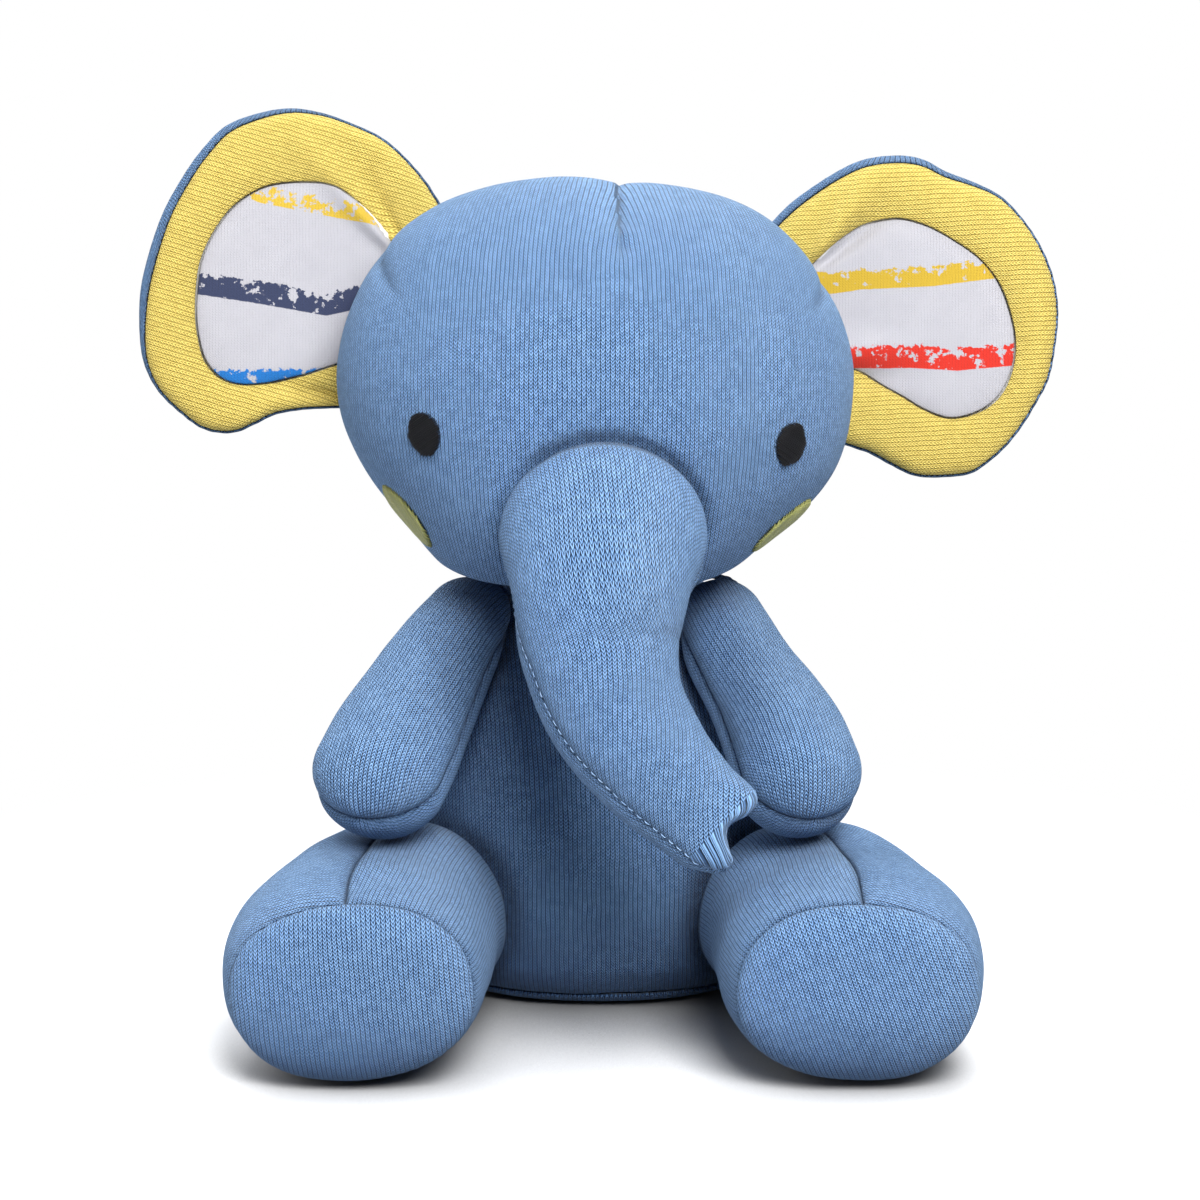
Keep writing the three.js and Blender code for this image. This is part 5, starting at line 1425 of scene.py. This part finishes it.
def build_rings():
    """the doubled seam allowance inside each joint: a rolled strip with overlock loops"""
    T = lambda k: -TUBES[k]["T"][0]
    rings = [("neck_seam_ring", "neck", NECK, np.array([0, 0, 1.0]), 12.6, 0.62, 0.95),
             ("trunk_seam_ring", "trunk_root", TUBES["trunk"]["pivot"], T("trunk"), TUBES["trunk"]["root"], 0.6, 0.8)]
    for s in ("right", "left"):
        rings.append((f"{s}_arm_seam_ring", f"{s}_shoulder", TUBES[f"{s}_arm"]["pivot"], T(f"{s}_arm"), 11.2, 0.55, 0.8))
        rings.append((f"{s}_leg_seam_ring", f"{s}_hip", TUBES[f"{s}_leg"]["pivot"], T(f"{s}_leg"), TUBES[f"{s}_leg"]["root"], 0.55, 0.8))
    for name, body_name, c, ax, root, a0, a1 in rings:
        ax = unit(ax)
        ex = unit(np.cross(ax, [0.31, 0.2, 0.93]) if abs(ax[2]) < 0.9 else np.cross(ax, [1.0, 0, 0]))
        ey = np.cross(ax, ex)
        nphi, nk = 160, 14
        ph = np.linspace(0, 2 * np.pi, nphi, endpoint=False)
        k = np.linspace(0, 2 * np.pi, nk, endpoint=False)
        mid, hw = (a0 + a1) / 2, (a1 - a0) / 2
        count = max(12, round(2 * np.pi * root * math.sin(mid) / 2.1))
        bead = 0.9 + 0.1 * np.cos(ph * count)[None]
        pol = mid + hw * np.cos(k)[:, None] * bead
        rad = root + 0.5 + 0.5 + 0.46 * np.sin(k)[:, None] * bead
        P = c + ax * (rad * np.cos(pol))[..., None] + (ex * np.cos(ph)[None, :, None] + ey * np.sin(ph)[None, :, None]) * (rad * np.sin(pol))[..., None]
        ids = np.arange(nk * nphi).reshape(nk, nphi)
        n1, n2 = np.roll(ids, -1, 0), np.roll(ids, -1, 1)
        n12 = np.roll(n1, -1, 1)
        quads = np.stack([ids, n1, n12, n2], -1).reshape(-1, 4)
        K = np.stack([np.broadcast_to(ph * root * math.sin(mid), P.shape[:2]), np.broadcast_to((k * 1.2)[:, None], P.shape[:2]), np.full(P.shape[:2], 7.0)], -1)
        ob = mesh_from(name + "_tape", P.reshape(-1, 3), np.zeros((0, 3), int), quads, {"knit": K.reshape(-1, 3), "crease_shade": np.zeros(nk * nphi)})
        me = ob.data
        # make the faces point out
        v = P.reshape(-1, 3)
        vol = np.einsum("ij,ij->i", v[quads[:, 0]] - c, np.cross(v[quads[:, 1]] - c, v[quads[:, 2]] - c)).sum()
        if vol < 0:
            me.flip_normals()
        place(ob, body_name, TAPE, [name])


build_head()
build_trunk()
for side in ("right", "left"):
    build_arm(side)
    build_leg(side)
    build_ear(side)
build_torso()
build_tail()
build_face()
build_stuffing()
build_rings()

# ------------------------------------------------------------------ stage, light and camera
def floor():
    me = bpy.data.meshes.new("floor")
    s = 4.0
    me.from_pydata([(-s, -s, 0), (s, -s, 0), (s, s, 0), (-s, s, 0)], [], [(0, 1, 2, 3)])
    ob = bpy.data.objects.new("floor", me)
    bpy.context.scene.collection.objects.link(ob)
    N = Net("studio_floor")
    P = N.new("ShaderNodeTexCoord").outputs["Object"]
    n = N.noise(P, 6.0, 2.0)
    b = N.new("ShaderNodeBsdfDiffuse")
    ao = N.new("ShaderNodeAmbientOcclusion")
    ao.samples = 4
    ao.inputs["Distance"].default_value = 0.05
    # painted shadow: the floor's colour darkens where the toy stands close over it
    close = N.range(ao.outputs["AO"], 0.15, 0.75, 0.32, 1.0)
    dim = N.new("ShaderNodeLightPath").outputs["Is Camera Ray"]
    N.wire(b.inputs[0], N.mix(dim, (0.4, 0.41, 0.43, 1), N.mul(N.mix(n, (0.93, 0.935, 0.945, 1), (0.95, 0.952, 0.96, 1)), close)))
    e = N.new("ShaderNodeEmission")
    e.inputs[0].default_value = (1, 1, 1, 1)
    far = N.range(N.vm("LENGTH", P), 0.10, 0.24, 0.0, 1.0, "SMOOTHSTEP")
    mixs = N.new("ShaderNodeMixShader")
    N.wire(mixs.inputs[0], N.m("MULTIPLY", far, dim))
    N.wire(mixs.inputs[1], b.outputs[0])
    N.wire(mixs.inputs[2], e.outputs[0])
    out = N.new("ShaderNodeOutputMaterial")
    N.wire(out.inputs[0], mixs.outputs[0])
    m = N.mat
    me.materials.append(m)
    ob.location = (0, 0, min(0.0, CAD_BOX[0][2]) - 0.0002)
    return ob


def area(name, loc, target, size, power, color=(1, 1, 1)):
    l = bpy.data.lights.new(name, "AREA")
    l.shape = "RECTANGLE"
    l.size, l.size_y = size
    l.energy = power
    l.color = color
    ob = bpy.data.objects.new(name, l)
    bpy.context.scene.collection.objects.link(ob)
    ob.location = loc
    ob.rotation_mode = "QUATERNION"
    ob.rotation_quaternion = (Vector(target) - Vector(loc)).to_track_quat("-Z", "Y")
    return ob


floor()
area("key", (0.30, -1.02, 0.98), (0, 0, 0.09), (0.7, 0.7), 30.0)
area("top", (0.08, 0.45, 1.3), (0, 0, 0.08), (1.0, 1.0), 13.0)
area("fill", (-1.1, -0.5, 0.6), (0, 0, 0.1), (0.8, 0.8), 4.4)
area("back", (-0.45, 1.05, 0.75), (0, 0, 0.09), (0.9, 0.9), 10.0)
world = bpy.data.worlds.new("studio")
bpy.context.scene.world = world
world.use_nodes = True
wt = world.node_tree
bg = wt.nodes["Background"]
bg.inputs[0].default_value = (0.95, 0.97, 1.0, 1)
bg.inputs[1].default_value = 0.15
white = wt.nodes.new("ShaderNodeBackground")
white.inputs[0].default_value = (1, 1, 1, 1)
path = wt.nodes.new("ShaderNodeLightPath")
mixw = wt.nodes.new("ShaderNodeMixShader")
wt.links.new(path.outputs["Is Camera Ray"], mixw.inputs[0])
wt.links.new(bg.outputs[0], mixw.inputs[1])
wt.links.new(white.outputs[0], mixw.inputs[2])
wt.links.new(mixw.outputs[0], wt.nodes["World Output"].inputs[0])
bpy.context.scene.view_settings.view_transform = "Standard"
bpy.context.scene.view_settings.look = "None"
bpy.context.scene.view_settings.exposure = 0.0
bpy.context.scene.view_settings.gamma = 1.0

cam = bpy.data.cameras.new("camera")
cam.lens, cam.sensor_width, cam.sensor_fit = 125, 36, "AUTO"
cam.clip_start, cam.clip_end = 0.05, 50
cam_ob = bpy.data.objects.new("camera", cam)
bpy.context.scene.collection.objects.link(cam_ob)
target = Vector((0, 0, 0.0938))
cam_ob.location = target - Vector(DEEP)
cam_ob.rotation_mode = "QUATERNION"
cam_ob.rotation_quaternion = (target - cam_ob.location).to_track_quat("-Z", "Y")
bpy.context.scene.camera = cam_ob
